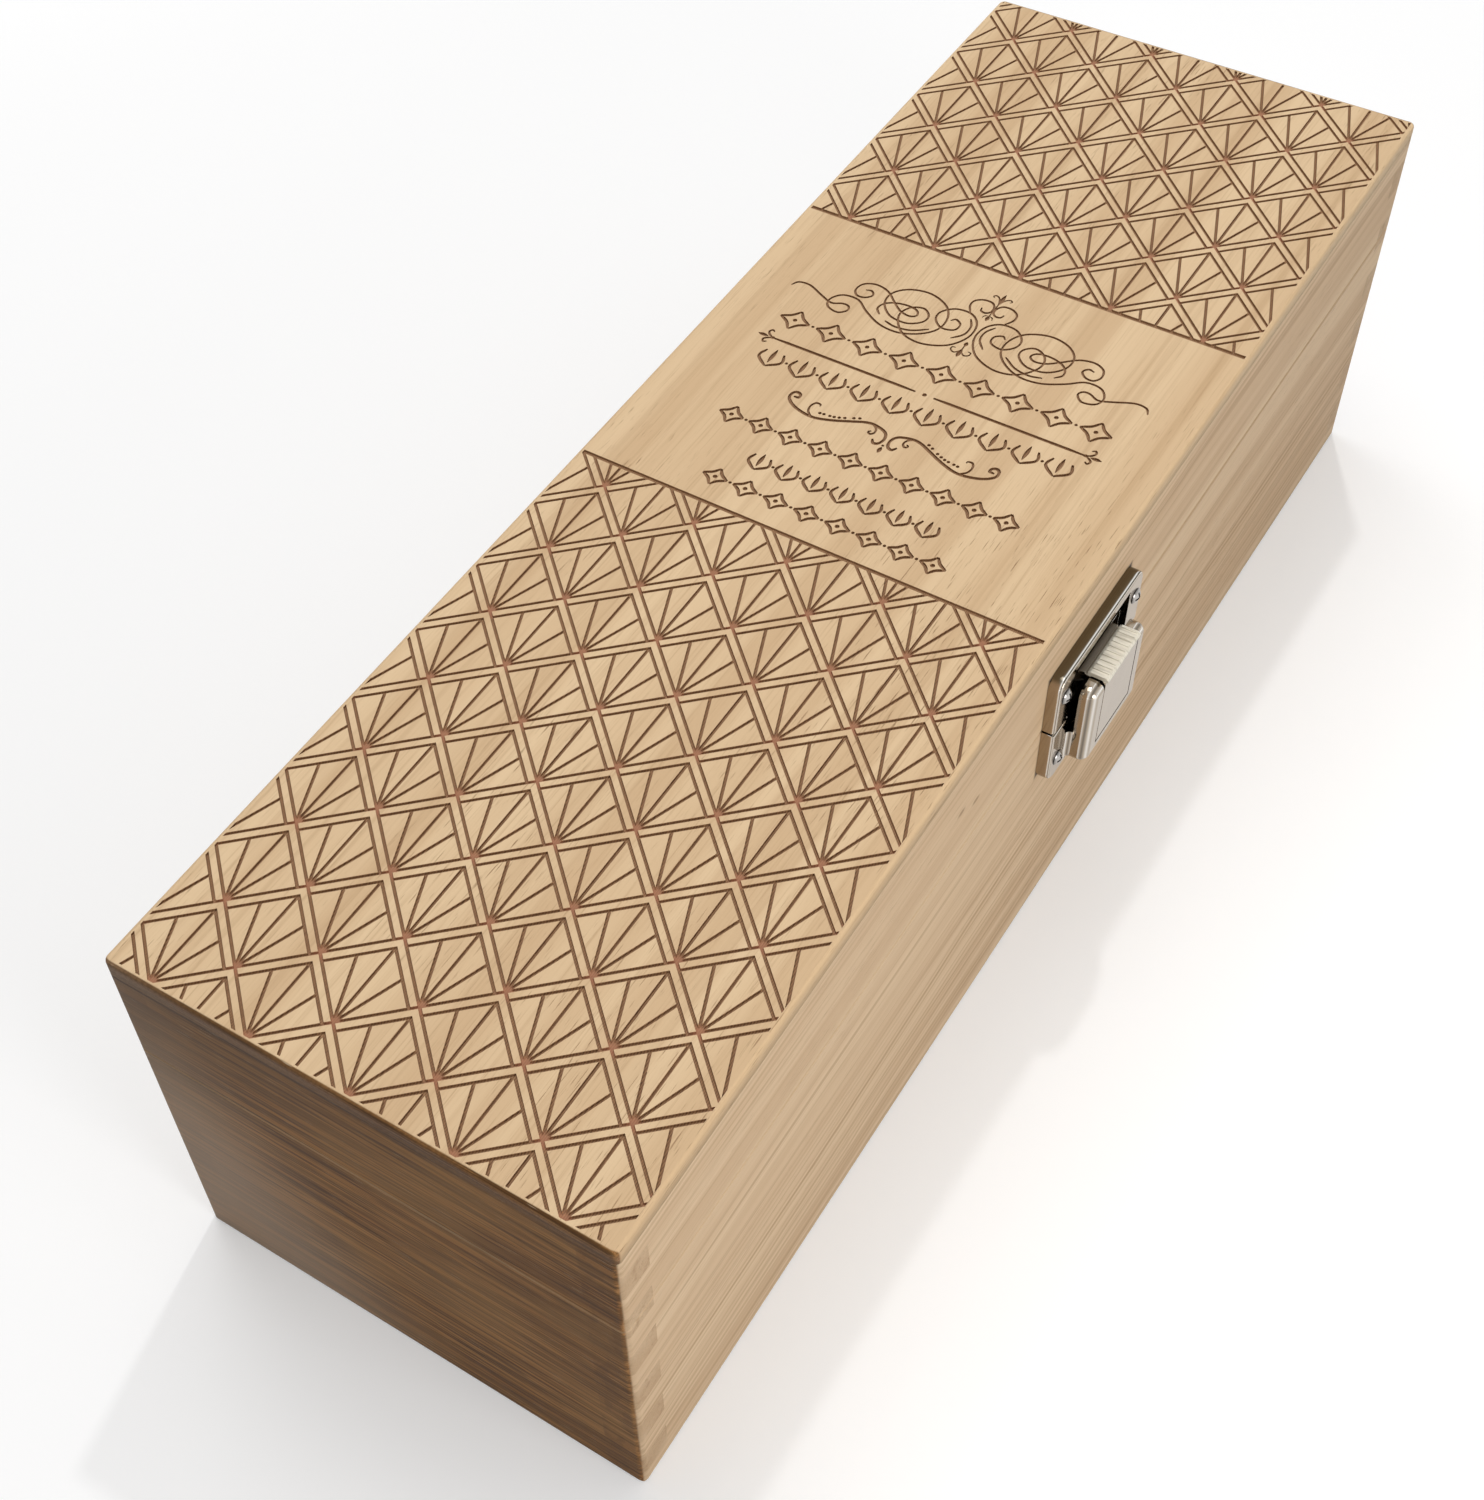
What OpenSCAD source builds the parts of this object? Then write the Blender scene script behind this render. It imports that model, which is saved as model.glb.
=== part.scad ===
// Wooden single-bottle wine box with a hinged lid and a sprung front catch.
// X runs along the box, the catch is at -Y, the hinges are at +Y, Z is up.
// The origin lies in the middle of the underside of the wooden box.

/* [Box] */
// Length of the wooden box
box_l = 350; // [330:1:400]
// Width of the wooden box, front to back
box_w = 111; // [104:1:130]
// Height of the closed box
box_h = 99; // [95:1:125]
// Height at which the lid parts from the base
seam_z = 69; // [66:0.5:74]
// Saw gap between the base and the closed lid
seam_gap = 0.2; // [0.1:0.05:0.4]
// Thickness of the side and end boards
board_t = 8.5; // [7.5:0.5:10]
// Thickness of the lid's top panel
top_t = 4; // [3:0.5:6]
// Rounding of the box's upright corners
edge_r = 1.5; // [1:0.1:2.5]
// Rounding of the top panel's upper edges
top_round = 0.8; // [0.5:0.1:1]
// Chamfer that eases the board edges at the seam
seam_ease = 0.35; // [0.2:0.05:0.6]
// Chamfer that eases the board edges under the box
foot_ease = 0.6; // [0.3:0.1:1]

/* [Bottom panel] */
// Thickness of the bottom panel
bottom_t = 4; // [3:0.5:6]
// Width of the rabbet that holds the bottom panel
rabbet_w = 4; // [3:0.5:5]
// Glue gap around the bottom panel
panel_fit = 0.1; // [0.05:0.05:0.3]

/* [Finger joints] */
// Height of one finger
finger_h = 7.7; // [6:0.1:10]
// Height of the part finger at the bottom
first_finger = 4.6; // [3:0.1:7]

/* [Hinges] */
// Distance of each hinge's middle from its end of the box
hinge_inset = 63; // [40:1:110]
// Length of a hinge along its pin
hinge_l = 28; // [24:1:40]
// Height of a leaf, from the pin's axis
leaf_h = 11.5; // [10:0.5:14]
// Thickness of a leaf
leaf_t = 1; // [0.8:0.1:1.2]
// Rounding of a leaf's corners
leaf_r = 1.5; // [1:0.1:2]
// Outer radius of the knuckles
barrel_r = 2; // [1.8:0.1:2.4]
// Radius of the hinge pin
hinge_pin_r = 1; // [0.8:0.05:1.1]
// Gap between the knuckles and the wood
barrel_gap = 0.15; // [0.1:0.05:0.3]
// Radial running clearance of the lid's knuckles on the pin
hinge_run = 0.05; // [0.02:0.01:0.08]
// Side gap between neighbouring knuckles
knuckle_gap = 0.16; // [0.1:0.02:0.3]
// Number of knuckles of one hinge
knuckles = 5; // [3:2:7]
// Angle at which the stop heels meet the base leaf
stop_deg = 100.5; // [92:0.5:110]
// Length of the stop heel, from the pin's axis
heel_l = 3.6; // [3.2:0.1:4]
// Thickness of the stop heel
heel_t = 1; // [0.8:0.1:1.2]
// Distance of a hinge screw from the hinge's middle
hinge_screw_x = 8.5; // [7:0.5:10]
// Height of a hinge screw, from the pin's axis
hinge_screw_z = 7.2; // [6:0.1:8]

/* [Catch plates] */
// Place of the catch along the box
catch_x = 1.5; // [-40:0.5:40]
// Width of the two catch plates
plate_w = 39; // [37:0.5:44]
// Height of each catch plate
plate_h = 15.6; // [15:0.1:17]
// How far the plates' faces stand off the wood
plate_d = 3; // [2.6:0.1:3.4]
// Radius of the plates' outer corners
plate_r = 3; // [2:0.5:5]
// Thickness of the sheet metal
sheet_t = 0.8; // [0.6:0.05:0.9]
// Gap between each plate and the seam's middle
plate_gap = 0.3; // [0.2:0.05:0.5]
// Width of the window in the strike plate
window_w = 26; // [25.6:0.1:27]
// Width of the bar above the window
window_bar = 2; // [1.6:0.1:3]
// Height of the lip that the hook holds, above the strike plate's lower edge
lip_h = 7.1; // [6:0.1:7.5]
// How far the lip's outer face stands off the wood
lip_d = 1.4; // [1.2:0.05:1.7]
// Distance of a strike plate screw from the catch's middle
strike_screw_x = 16.3; // [15.8:0.1:17]
// Height of the strike plate screws, above the plate's lower edge
strike_screw_z = 9.4; // [8:0.1:10]
// Distance of a base plate screw from the catch's middle
base_screw_x = 15.9; // [15.8:0.1:16.5]
// Height of the base plate screws, above the plate's lower edge
base_screw_z = 5.6; // [4.5:0.1:6.5]
// Depth of the notch in the base plate's upper edge
notch_h = 4.6; // [4:0.1:5.5]

/* [Catch housing] */
// Width of the housing
housing_w = 25; // [24:0.1:25.1]
// Height of the housing
housing_h = 22.2; // [21:0.1:24]
// How far the housing's front stands off the wood
housing_d = 8; // [7.6:0.1:9]
// Height of the base plate's margin below the housing
housing_margin = 1.9; // [1.5:0.1:2.4]
// Rounding of the housing's drawn corners
housing_r = 2.2; // [1.4:0.1:2.6]
// Radius of the fillet round the housing's foot
foot_r = 1.3; // [1:0.1:1.4]
// Gap between the housing's side walls and the strike plate's face
housing_clear = 1.4; // [1:0.1:1.6]
// Gap between the housing's cheeks and the base plate
cheek_gap = 0.4; // [0.3:0.05:0.8]

/* [Catch tongue] */
// Width of the tongue
tongue_w = 15.5; // [14:0.1:16]
// Side gap between the tongue and the housing
tongue_side = 0.35; // [0.25:0.05:0.5]
// Height of the thumb pad's top above the seam
pad_h = 9.3; // [8.8:0.1:9.8]
// Depth of the thumb pad, back from the housing's front
pad_d = 4.3; // [3.6:0.1:4.5]
// Drop from the thumb pad to the hook
hook_drop = 0.4; // [0.3:0.05:0.7]
// Width of the crease between the thumb pad and the hook
crease_w = 0.4; // [0.3:0.05:0.5]
// Depth of the crease, from the hook's top
crease_d = 0.35; // [0.2:0.05:0.4]
// Gap left open between the hook's tip and the lip
bite_gap = 0.2; // [0.15:0.05:0.4]
// Number of ribs on the thumb pad
ribs = 11; // [7:1:13]
// Width of a rib
rib_w = 0.7; // [0.5:0.05:0.8]
// Height of a rib
rib_h = 0.25; // [0.15:0.05:0.4]
// Radius of the bead along the pad's front edge
bead_r = 0.55; // [0.4:0.05:0.7]

/* [Catch pivot] */
// Height of the pivot above the housing's lower end
pivot_z = 5.4; // [5:0.1:6.5]
// Distance of the pivot behind the housing's front
pivot_d = 2.4; // [2.35:0.01:2.7]
// Radius of the pivot pin
pivot_pin_r = 0.9; // [0.7:0.05:1]
// Radial running clearance of the tongue on its pin
pivot_run = 0.05; // [0.02:0.01:0.08]
// Outer radius of the tongue's curls
curl_r = 1.5; // [1.4:0.05:1.55]
// Gap between the tongue's lower end and the housing
foot_gap = 0.5; // [0.4:0.05:0.7]
// Width of the space for the spring between the curls
spring_bay = 6; // [5:0.5:8]
// Diameter of the spring wire
wire_d = 0.4; // [0.3:0.05:0.45]
// Number of whole turns of the spring
spring_turns = 5; // [3:1:7]

/* [Screws] */
// Radius of a screw's shank
shank_r = 1; // [0.8:0.05:1.1]
// Radius of a screw's head
head_r = 1.9; // [1.7:0.05:2.1]
// Height of a catch screw's domed head
head_h = 1; // [0.8:0.1:1.3]
// Depth of the screws in the wood
screw_depth = 6; // [5:0.5:6.5]
// Depth of the cross recess in a head
recess_d = 0.45; // [0.3:0.05:0.6]
// Width of the cross recess's slots
recess_w = 0.5; // [0.4:0.05:0.6]

/* [Hidden] */

$fn = 48;
cut = 1;                                  // how far a cutting shape runs past its surface
sliver = 0.01;                            // thickness of an outline between two hulls
foot_steps = 5;                           // flats along the housing's foot fillet
frame_top = box_h - top_t;                // top of the lid's boards
lid_z = seam_z + seam_gap;                // underside of the closed lid
side_y = box_w / 2;
end_x = box_l / 2;
hinge_x = end_x - hinge_inset;            // middle of a hinge
hinge_y = side_y + barrel_r + barrel_gap; // axis of the hinge pins
hinge_z = seam_z + seam_gap / 2;
knuckle_w = hinge_l / knuckles;
leaf_start = barrel_r + 0.2;              // where a leaf begins beside the other's knuckle
plate_mid = seam_z + seam_gap / 2;        // the catch plates part here
strike_z = plate_mid + plate_gap;         // lower edge of the strike plate
base_plate_z = plate_mid - plate_gap - plate_h;
housing_z = base_plate_z + housing_margin;
pin_o = housing_d - pivot_d;              // pivot of the tongue, measured off the wood
pin_z = housing_z + pivot_z;
foot_z = pin_z - curl_r;                  // lower end of the tongue
slot_w = tongue_w + 2 * tongue_side;      // opening for the tongue in the housing
notch_z = plate_mid - plate_gap - notch_h;
pad_z = seam_z + pad_h;                   // top of the thumb pad
pad_back = housing_d - pad_d;
hook_tip = lip_d + bite_gap;
hook_z = pad_z - hook_drop;               // top of the hook
coil_r = pivot_pin_r + wire_d / 2 + 0.15; // middle of the spring's wire, from the pin's axis
wood = "burlywood";
plated = "silver";
steel = "lightslategray";

// ---- shapes used by several pieces ----

// A bar along X with the outline (distance off the front face, height).
module side_profile(width) {
  rotate([90, 0, 90])
    linear_extrude(width, center = true)
      mirror([1, 0])
        children();
}

// Moves to the middle of the catch on the front face; the outward direction is -Y.
module at_catch() {
  translate([catch_x, -side_y, 0])
    children();
}

// A rectangle with round corners, from true arcs.
module round_rect(w, h, r) {
  square([w - 2 * r, h], center = true);
  square([w, h - 2 * r], center = true);
  for (sx = [-1, 1], sy = [-1, 1])
    translate([sx * (w / 2 - r), sy * (h / 2 - r)])
      circle(r);
}

// ---- wooden boards ----

// The whole block of side and end boards, with its upright corners rounded.
module outer_block() {
  linear_extrude(frame_top)
    round_rect(box_l, box_w, edge_r);
}

// Diamond bars along all four outer faces at a height, which ease the edges there.
module eased_edges(z, size) {
  for (s = [-1, 1]) {
    translate([0, s * side_y, z])
      rotate([45, 0, 0])
        cube([box_l + 2 * cut, size * sqrt(2), size * sqrt(2)], center = true);
    translate([s * end_x, 0, z])
      rotate([0, 45, 0])
        cube([size * sqrt(2), box_w + 2 * cut, size * sqrt(2)], center = true);
  }
}

// The fingers of the end boards, which reach through the long boards.
module end_fingers(sx) {
  for (sy = [-1, 1], z = [first_finger : 2 * finger_h : frame_top])
    translate([sx * (end_x - board_t / 2), sy * (side_y - board_t / 2), z + finger_h / 2])
      cube([board_t, board_t, finger_h], center = true);
}

// One height range of the block, with every outer edge eased.
module clipped(z_low, z_high) {
  difference() {
    intersection() {
      children();
      outer_block();
      translate([0, 0, (z_low + z_high) / 2])
        cube([box_l + 2 * cut, box_w + 2 * cut, z_high - z_low], center = true);
    }
    eased_edges(z_low, z_low > 0 ? seam_ease : foot_ease);
    if (z_high < frame_top)
      eased_edges(z_high, seam_ease);
  }
}

// A long board: full length, notched for the end boards' fingers.
module long_board(sy) {
  difference() {
    translate([-end_x, sy > 0 ? side_y - board_t : -side_y, 0])
      cube([box_l, board_t, frame_top]);
    end_fingers(-1);
    end_fingers(1);
  }
}

// An end board: between the long boards, with fingers that reach through them.
module end_board(sx) {
  translate([sx > 0 ? end_x - board_t : -end_x, -side_y + board_t, 0])
    cube([board_t, box_w - 2 * board_t, frame_top]);
  end_fingers(sx);
}

// The space for the bottom panel; fit shrinks it on each side.
module bottom_space(fit) {
  translate([0, 0, bottom_t / 2 - (fit > 0 ? 0 : cut / 2)])
    cube([
      box_l - 2 * board_t + 2 * rabbet_w - 2 * fit,
      box_w - 2 * board_t + 2 * rabbet_w - 2 * fit,
      bottom_t + (fit > 0 ? 0 : cut)
    ], center = true);
}

module base_part() {
  difference() {
    clipped(0, seam_z)
      children();
    bottom_space(0);
  }
}

// ---- places of the screws ----

module base_hinge_screws_at() {
  for (s = [-1, 1], k = [-1, 1])
    translate([s * hinge_x + k * hinge_screw_x, side_y, hinge_z - hinge_screw_z])
      rotate([-90, 0, 0])
        children();
}

module lid_hinge_screws_at() {
  for (s = [-1, 1], k = [-1, 1])
    translate([s * hinge_x + k * hinge_screw_x, side_y, hinge_z + hinge_screw_z])
      rotate([-90, 0, 0])
        children();
}

module base_plate_screws_at() {
  at_catch()
    for (k = [-1, 1])
      translate([k * base_screw_x, 0, base_plate_z + base_screw_z])
        rotate([90, 0, 0])
          children();
}

module strike_screws_at() {
  at_catch()
    for (k = [-1, 1])
      translate([k * strike_screw_x, 0, strike_z + strike_screw_z])
        rotate([90, 0, 0])
          children();
}

// A pilot hole, from the wood's surface inwards; the screw points down here.
module pilot() {
  translate([0, 0, -screw_depth])
    cylinder(r = shank_r, h = screw_depth + cut);
}

// A shank with a turned point, from a height down into the wood.
module shank(top) {
  translate([0, 0, shank_r - screw_depth])
    cylinder(r = shank_r, h = screw_depth - shank_r + top);
  translate([0, 0, -screw_depth])
    cylinder(r1 = 0.2, r2 = shank_r, h = shank_r);
}

module cross_recess(top) {
  for (a = [0, 90])
    translate([0, 0, top - recess_d + cut / 2])
      rotate(a)
        cube([1.3 * head_r, recess_w, cut], center = true);
}

// Domed screw for the catch plates, whose head lies on the plate's face.
module dome_screw(seat) {
  dome_r = (head_r * head_r + head_h * head_h) / (2 * head_h);
  difference() {
    intersection() {
      translate([0, 0, seat + head_h - dome_r])
        sphere(dome_r);
      translate([0, 0, seat])
        cylinder(r = head_r, h = head_h);
    }
    cross_recess(seat + head_h);
  }
  shank(seat);
}

// Flat screw for the hinge leaves, whose head is sunk in the leaf.
module flat_screw() {
  difference() {
    cylinder(r1 = shank_r, r2 = head_r, h = leaf_t);
    cross_recess(leaf_t);
  }
  shank(0);
}

// ---- the wooden pieces ----

module base_front_board() {
  color(wood)
    difference() {
      base_part() long_board(-1);
      base_plate_screws_at() pilot();
    }
}

module base_back_board() {
  color(wood)
    difference() {
      base_part() long_board(1);
      base_hinge_screws_at() pilot();
    }
}

module base_left_end() {
  color(wood) base_part() end_board(-1);
}

module base_right_end() {
  color(wood) base_part() end_board(1);
}

module bottom_panel() {
  color(wood) bottom_space(panel_fit);
}

module lid_front_board() {
  color(wood)
    difference() {
      clipped(lid_z, frame_top) long_board(-1);
      strike_screws_at() pilot();
    }
}

module lid_back_board() {
  color(wood)
    difference() {
      clipped(lid_z, frame_top) long_board(1);
      lid_hinge_screws_at() pilot();
    }
}

module lid_left_end() {
  color(wood) clipped(lid_z, frame_top) end_board(-1);
}

module lid_right_end() {
  color(wood) clipped(lid_z, frame_top) end_board(1);
}

// The top panel lies on the lid's boards; its upper edges and corners are rounded.
module lid_top_panel() {
  color("wheat")
    hull()
      for (sx = [-1, 1], sy = [-1, 1])
        translate([sx * (end_x - edge_r), sy * (side_y - edge_r), frame_top])
          rotate_extrude($fn = 32) {
            square([edge_r, top_t - top_round]);
            translate([0, top_t - top_round])
              intersection() {
                translate([edge_r - top_round, 0]) circle(top_round);
                square(edge_r);
              }
          }
}

// ---- hinges ----

// One knuckle's place along the pin.
module knuckle_at(i) {
  translate([(i + 0.5) * knuckle_w - hinge_l / 2, 0, 0])
    children();
}

// A leaf with its knuckles; dir is -1 for the base leaf and 1 for the lid leaf.
module leaf(dir, first, bore_r) {
  difference() {
    union() {
      translate([0, side_y - hinge_y, dir * (leaf_start + leaf_h) / 2])
        rotate([-90, 0, 0])
          linear_extrude(leaf_t)
            round_rect(hinge_l, leaf_h - leaf_start, leaf_r);
      for (i = [first : 2 : knuckles - 1])
        knuckle_at(i) {
          w = knuckle_w - knuckle_gap;
          translate([-w / 2, side_y - hinge_y, dir > 0 ? 0 : -leaf_start - leaf_r])
            cube([w, leaf_t, leaf_start + leaf_r]);
          rotate([0, 90, 0])
            cylinder(r = barrel_r, h = w, center = true);
          if (dir > 0)
            rotate([stop_deg, 0, 0])
              translate([-w / 2, side_y - hinge_y + leaf_t, -heel_l])
                cube([w, heel_t, heel_l - hinge_pin_r - hinge_run]);
        }
    }
    rotate([0, 90, 0])
      cylinder(r = bore_r, h = hinge_l + 2 * cut, center = true);
    for (k = [-1, 1])
      translate([k * hinge_screw_x, side_y - hinge_y, dir * hinge_screw_z])
        rotate([-90, 0, 0])
          cylinder(r1 = shank_r, r2 = head_r, h = leaf_t);
  }
}

module at_hinge(side) {
  translate([side * hinge_x, hinge_y, hinge_z])
    children();
}

module hinge_pin(side) {
  color(steel)
    at_hinge(side)
      rotate([0, 90, 0])
        cylinder(r = hinge_pin_r, h = hinge_l, center = true);
}

module hinge_base_leaf(side) {
  color(plated) at_hinge(side) leaf(-1, 0, hinge_pin_r);
}

module hinge_lid_leaf(side) {
  color(plated) at_hinge(side) leaf(1, 1, hinge_pin_r + hinge_run);
}

module hinge_base_screws() {
  color(plated) base_hinge_screws_at() flat_screw();
}

module hinge_lid_screws() {
  color(plated) lid_hinge_screws_at() flat_screw();
}

// ---- catch ----

// Outline of a catch plate; the two corners away from the seam are round.
module plate_outline(inset) {
  w = plate_w - 2 * inset;
  r = plate_r - inset;
  translate([-w / 2, inset])
    square([w, plate_h - 2 * inset - r]);
  translate([r - w / 2, inset])
    square([w - 2 * r, plate_h - 2 * inset]);
  for (s = [-1, 1])
    translate([s * (w / 2 - r), plate_h - inset - r])
      circle(r);
}

// A pressed pan: a face at the plate's depth, soft front edges, and a wall to the wood.
module pan() {
  difference() {
    hull() {
      linear_extrude(plate_d - sheet_t) plate_outline(0);
      linear_extrude(plate_d - 0.25 * sheet_t) plate_outline(0.25 * sheet_t);
      linear_extrude(plate_d) plate_outline(0.75 * sheet_t);
    }
    translate([0, 0, -cut])
      linear_extrude(plate_d - sheet_t + cut) plate_outline(sheet_t);
  }
}

// Stands the strike plate's pan up on the front face, above the seam.
module strike_pan() {
  translate([0, 0, strike_z])
    rotate([90, 0, 0])
      pan();
}

// The base plate's pan is the same pressing, turned upside down.
module base_pan() {
  translate([0, 0, base_plate_z + plate_h])
    rotate([90, 0, 0])
      mirror([0, 1, 0])
        pan();
}

module strike_plate() {
  lip_in = lip_d - sheet_t;
  color(plated)
    difference() {
      at_catch() {
        difference() {
          strike_pan();
          translate([-window_w / 2, -plate_d - cut, strike_z - cut])
            cube([window_w, plate_d + 2 * cut, plate_h - window_bar + cut]);
        }
        // the sunk lip, and the joggles that carry it at both sides of the window
        translate([-window_w / 2, -lip_d, strike_z])
          cube([window_w, sheet_t, lip_h]);
        for (s = [-1, 1])
          translate([s * (window_w + sheet_t) / 2, (-plate_d - lip_in) / 2, strike_z + lip_h / 2])
            cube([sheet_t, plate_d - lip_in, lip_h], center = true);
      }
      strike_screws_at()
        cylinder(r = shank_r, h = plate_d + cut);
    }
}

// Tabs of the housing's side walls, which are clinched through the base plate.
module housing_tabs(fit) {
  for (s = [-1, 1])
    translate([
      s * (housing_w - sheet_t) / 2,
      -plate_d + sheet_t / 2,
      housing_z + housing_r + plate_h / 4
    ])
      cube([sheet_t + 2 * fit, sheet_t + (fit > 0 ? cut : 0), plate_h / 4 + 2 * fit], center = true);
}

module catch_base_plate() {
  color(plated)
    difference() {
      at_catch()
        difference() {
          base_pan();
          housing_tabs(0.05);
          translate([-window_w / 2, -plate_d - cut, notch_z])
            cube([window_w, plate_d + 2 * cut, notch_h + cut]);
        }
      base_plate_screws_at()
        cylinder(r = shank_r, h = plate_d + cut);
    }
}

// The housing's drawn form, shrunk by a wall; it is open towards the base plate.
module housing_form(wall) {
  r = housing_r - wall;
  hull()
    for (s = [-1, 1], z = [housing_z + housing_r, housing_z + housing_h - housing_r])
      translate([s * (housing_w / 2 - housing_r), 0, z]) {
        translate([0, housing_r - housing_d, 0])
          sphere(r, $fn = 32);
        rotate([90, 0, 0])
          translate([0, 0, plate_d - (wall > 0 ? cut : 0)])
            cylinder(r = r, h = 1, $fn = 32);
      }
}

// The hollow fillet with which the housing's foot spreads on the base plate.
module housing_foot() {
  step = 90 / foot_steps;
  for (i = [0 : foot_steps - 1])
    hull()
      for (a = [i * step, (i + 1) * step])
        translate([0, -plate_d - foot_r * (1 - cos(a)), housing_z + housing_h / 2])
          rotate([90, 0, 0])
            linear_extrude(sliver)
              offset(foot_r * (1 - sin(a)), $fn = 32)
                round_rect(housing_w, housing_h, housing_r);
}

// The drawn shell with the slot for the tongue, and the two cheeks beside the slot.
module catch_housing() {
  cheek_low = foot_z - sheet_t;
  cheek_high = housing_z + housing_h;
  color(plated)
    at_catch() {
      difference() {
        union() {
          difference() {
            union() {
              housing_form(0);
              housing_foot();
            }
            housing_form(sheet_t);
          }
          intersection() {
            housing_form(0);
            for (s = [-1, 1])
              translate([
                s * (slot_w + sheet_t) / 2,
                -housing_d / 2 - plate_d / 2 - cheek_gap,
                (cheek_low + cheek_high) / 2
              ])
                cube([sheet_t, housing_d - plate_d, cheek_high - cheek_low], center = true);
          }
        }
        translate([-slot_w / 2, -housing_d - cut, foot_z - foot_gap])
          cube([slot_w, housing_d - plate_d + 2 * cut, housing_h]);
        translate([-housing_w / 2 - foot_r - cut, -plate_d - housing_clear, notch_z])
          cube([housing_w + 2 * foot_r + 2 * cut, plate_d, housing_h]);
        translate([0, -pin_o, pin_z])
          rotate([0, 90, 0])
            cylinder(r = pivot_pin_r, h = slot_w + 3 * sheet_t, center = true);
      }
      housing_tabs(0);
    }
}

// Side outline of the tongue's sheet: flap, bead, thumb pad, step and hook.
module tongue_outline() {
  flap_in = housing_d - sheet_t;
  translate([flap_in, foot_z])
    square([sheet_t, pad_z - foot_z - bead_r]);
  translate([housing_d - 0.1, pad_z - bead_r])
    circle(bead_r);
  translate([pad_back, pad_z - sheet_t])
    square([housing_d - 0.1 - pad_back, sheet_t]);
  polygon([
    [pad_back + sheet_t, hook_z - sheet_t],
    [hook_tip + 0.4 * sheet_t, hook_z - sheet_t],
    [hook_tip, hook_z - 0.8 * sheet_t],
    [hook_tip, hook_z - 0.6 * sheet_t],
    [hook_tip + sheet_t, hook_z],
    [pad_back, hook_z],
    [pad_back, pad_z - sheet_t],
    [pad_back + sheet_t, pad_z - sheet_t]
  ]);
}

module catch_tongue() {
  curl_w = (tongue_w - spring_bay) / 2;
  rib_pitch = (tongue_w - rib_w) / (ribs - 1);
  color(plated)
    at_catch()
      difference() {
        union() {
          side_profile(tongue_w)
            difference() {
              tongue_outline();
              translate([pad_back - crease_w, hook_z - crease_d])
                square([crease_w, crease_d + cut]);
            }
          for (s = [-1, 1])
            translate([s * (spring_bay + curl_w) / 2, 0, 0])
              side_profile(curl_w) {
                translate([pin_o, pin_z])
                  circle(curl_r);
                translate([pin_o, foot_z])
                  square([pivot_d, curl_r - pivot_pin_r]);
              }
          for (i = [0 : ribs - 1])
            translate([i * rib_pitch - (tongue_w - rib_w) / 2, 0, 0])
              side_profile(rib_w)
                translate([pad_back + sheet_t / 2, pad_z - sheet_t / 2])
                  square([pad_d - sheet_t / 2 - 0.1, sheet_t / 2 + rib_h]);
        }
        translate([0, -pin_o, pin_z])
          rotate([0, 90, 0])
            cylinder(r = pivot_pin_r + pivot_run, h = tongue_w + 2 * cut, center = true);
      }
}

module catch_pivot_pin() {
  color(steel)
    at_catch()
      translate([0, -pin_o, pin_z])
        rotate([0, 90, 0])
          cylinder(r = pivot_pin_r, h = slot_w + 2.6 * sheet_t, center = true);
}

// Path of the spring's wire as [x, distance off the wood, height].
// One leg presses the flap's foot outwards, the other rests on the base plate, below its notch.
leg_lean = 56;
coil_pitch = (spring_bay - 3 * wire_d) / (spring_turns + 0.1);
coil_steps = 16;
function coil_point(a) = [
  coil_pitch * a / 360 - (spring_bay - 3 * wire_d) / 2,
  pin_o + coil_r * cos(a),
  pin_z + coil_r * sin(a)
];
leg_start = coil_point(spring_turns * 360 + leg_lean);
leg_rest = plate_d + wire_d / 2 + 0.05;
leg_end = [leg_start[0], leg_rest, leg_start[2] + (leg_start[1] - leg_rest) / tan(leg_lean)];
spring_path = concat(
  [[-(spring_bay - 3 * wire_d) / 2, housing_d - sheet_t - wire_d / 2 - 0.05, foot_z + wire_d]],
  [for (i = [0 : spring_turns * coil_steps]) coil_point(i * 360 / coil_steps)],
  [leg_start, leg_end]
);

// A round wire swept along a path of points: a ring of corners at each point.
wire_sides = 8;
function unit(v) = v / norm(v);
function heading(p, i) = unit(p[min(i + 1, len(p) - 1)] - p[max(i - 1, 0)]);
function side_dir(p, i) = unit(cross(heading(p, i), [0, heading(p, i)[2], -heading(p, i)[1]]));
module wire(p, r) {
  n = len(p);
  corners = [
    for (i = [0 : n - 1], k = [0 : wire_sides - 1])
      let (
        t = heading(p, i),
        u = side_dir(p, i),
        v = cross(t, u),
        a = k * 360 / wire_sides,
        q = p[i] + r * (u * cos(a) + v * sin(a))
      )
      [q[0], -q[1], q[2]]
  ];
  faces = concat(
    [[for (k = [0 : wire_sides - 1]) k]],
    [for (i = [0 : n - 2], k = [0 : wire_sides - 1])
      let (a = i * wire_sides + k, b = i * wire_sides + (k + 1) % wire_sides)
      each [[a, a + wire_sides, b], [b, a + wire_sides, b + wire_sides]]],
    [[for (k = [wire_sides - 1 : -1 : 0]) (n - 1) * wire_sides + k]]
  );
  polyhedron(corners, faces, convexity = 10);
}

module catch_spring() {
  echo(least_gap_between_turns = coil_pitch - wire_d);
  color(steel)
    at_catch()
      wire(spring_path, wire_d / 2);
}

module catch_base_screws() {
  color(plated) base_plate_screws_at() dome_screw(plate_d);
}

module strike_plate_screws() {
  color(plated) strike_screws_at() dome_screw(plate_d);
}

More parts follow.
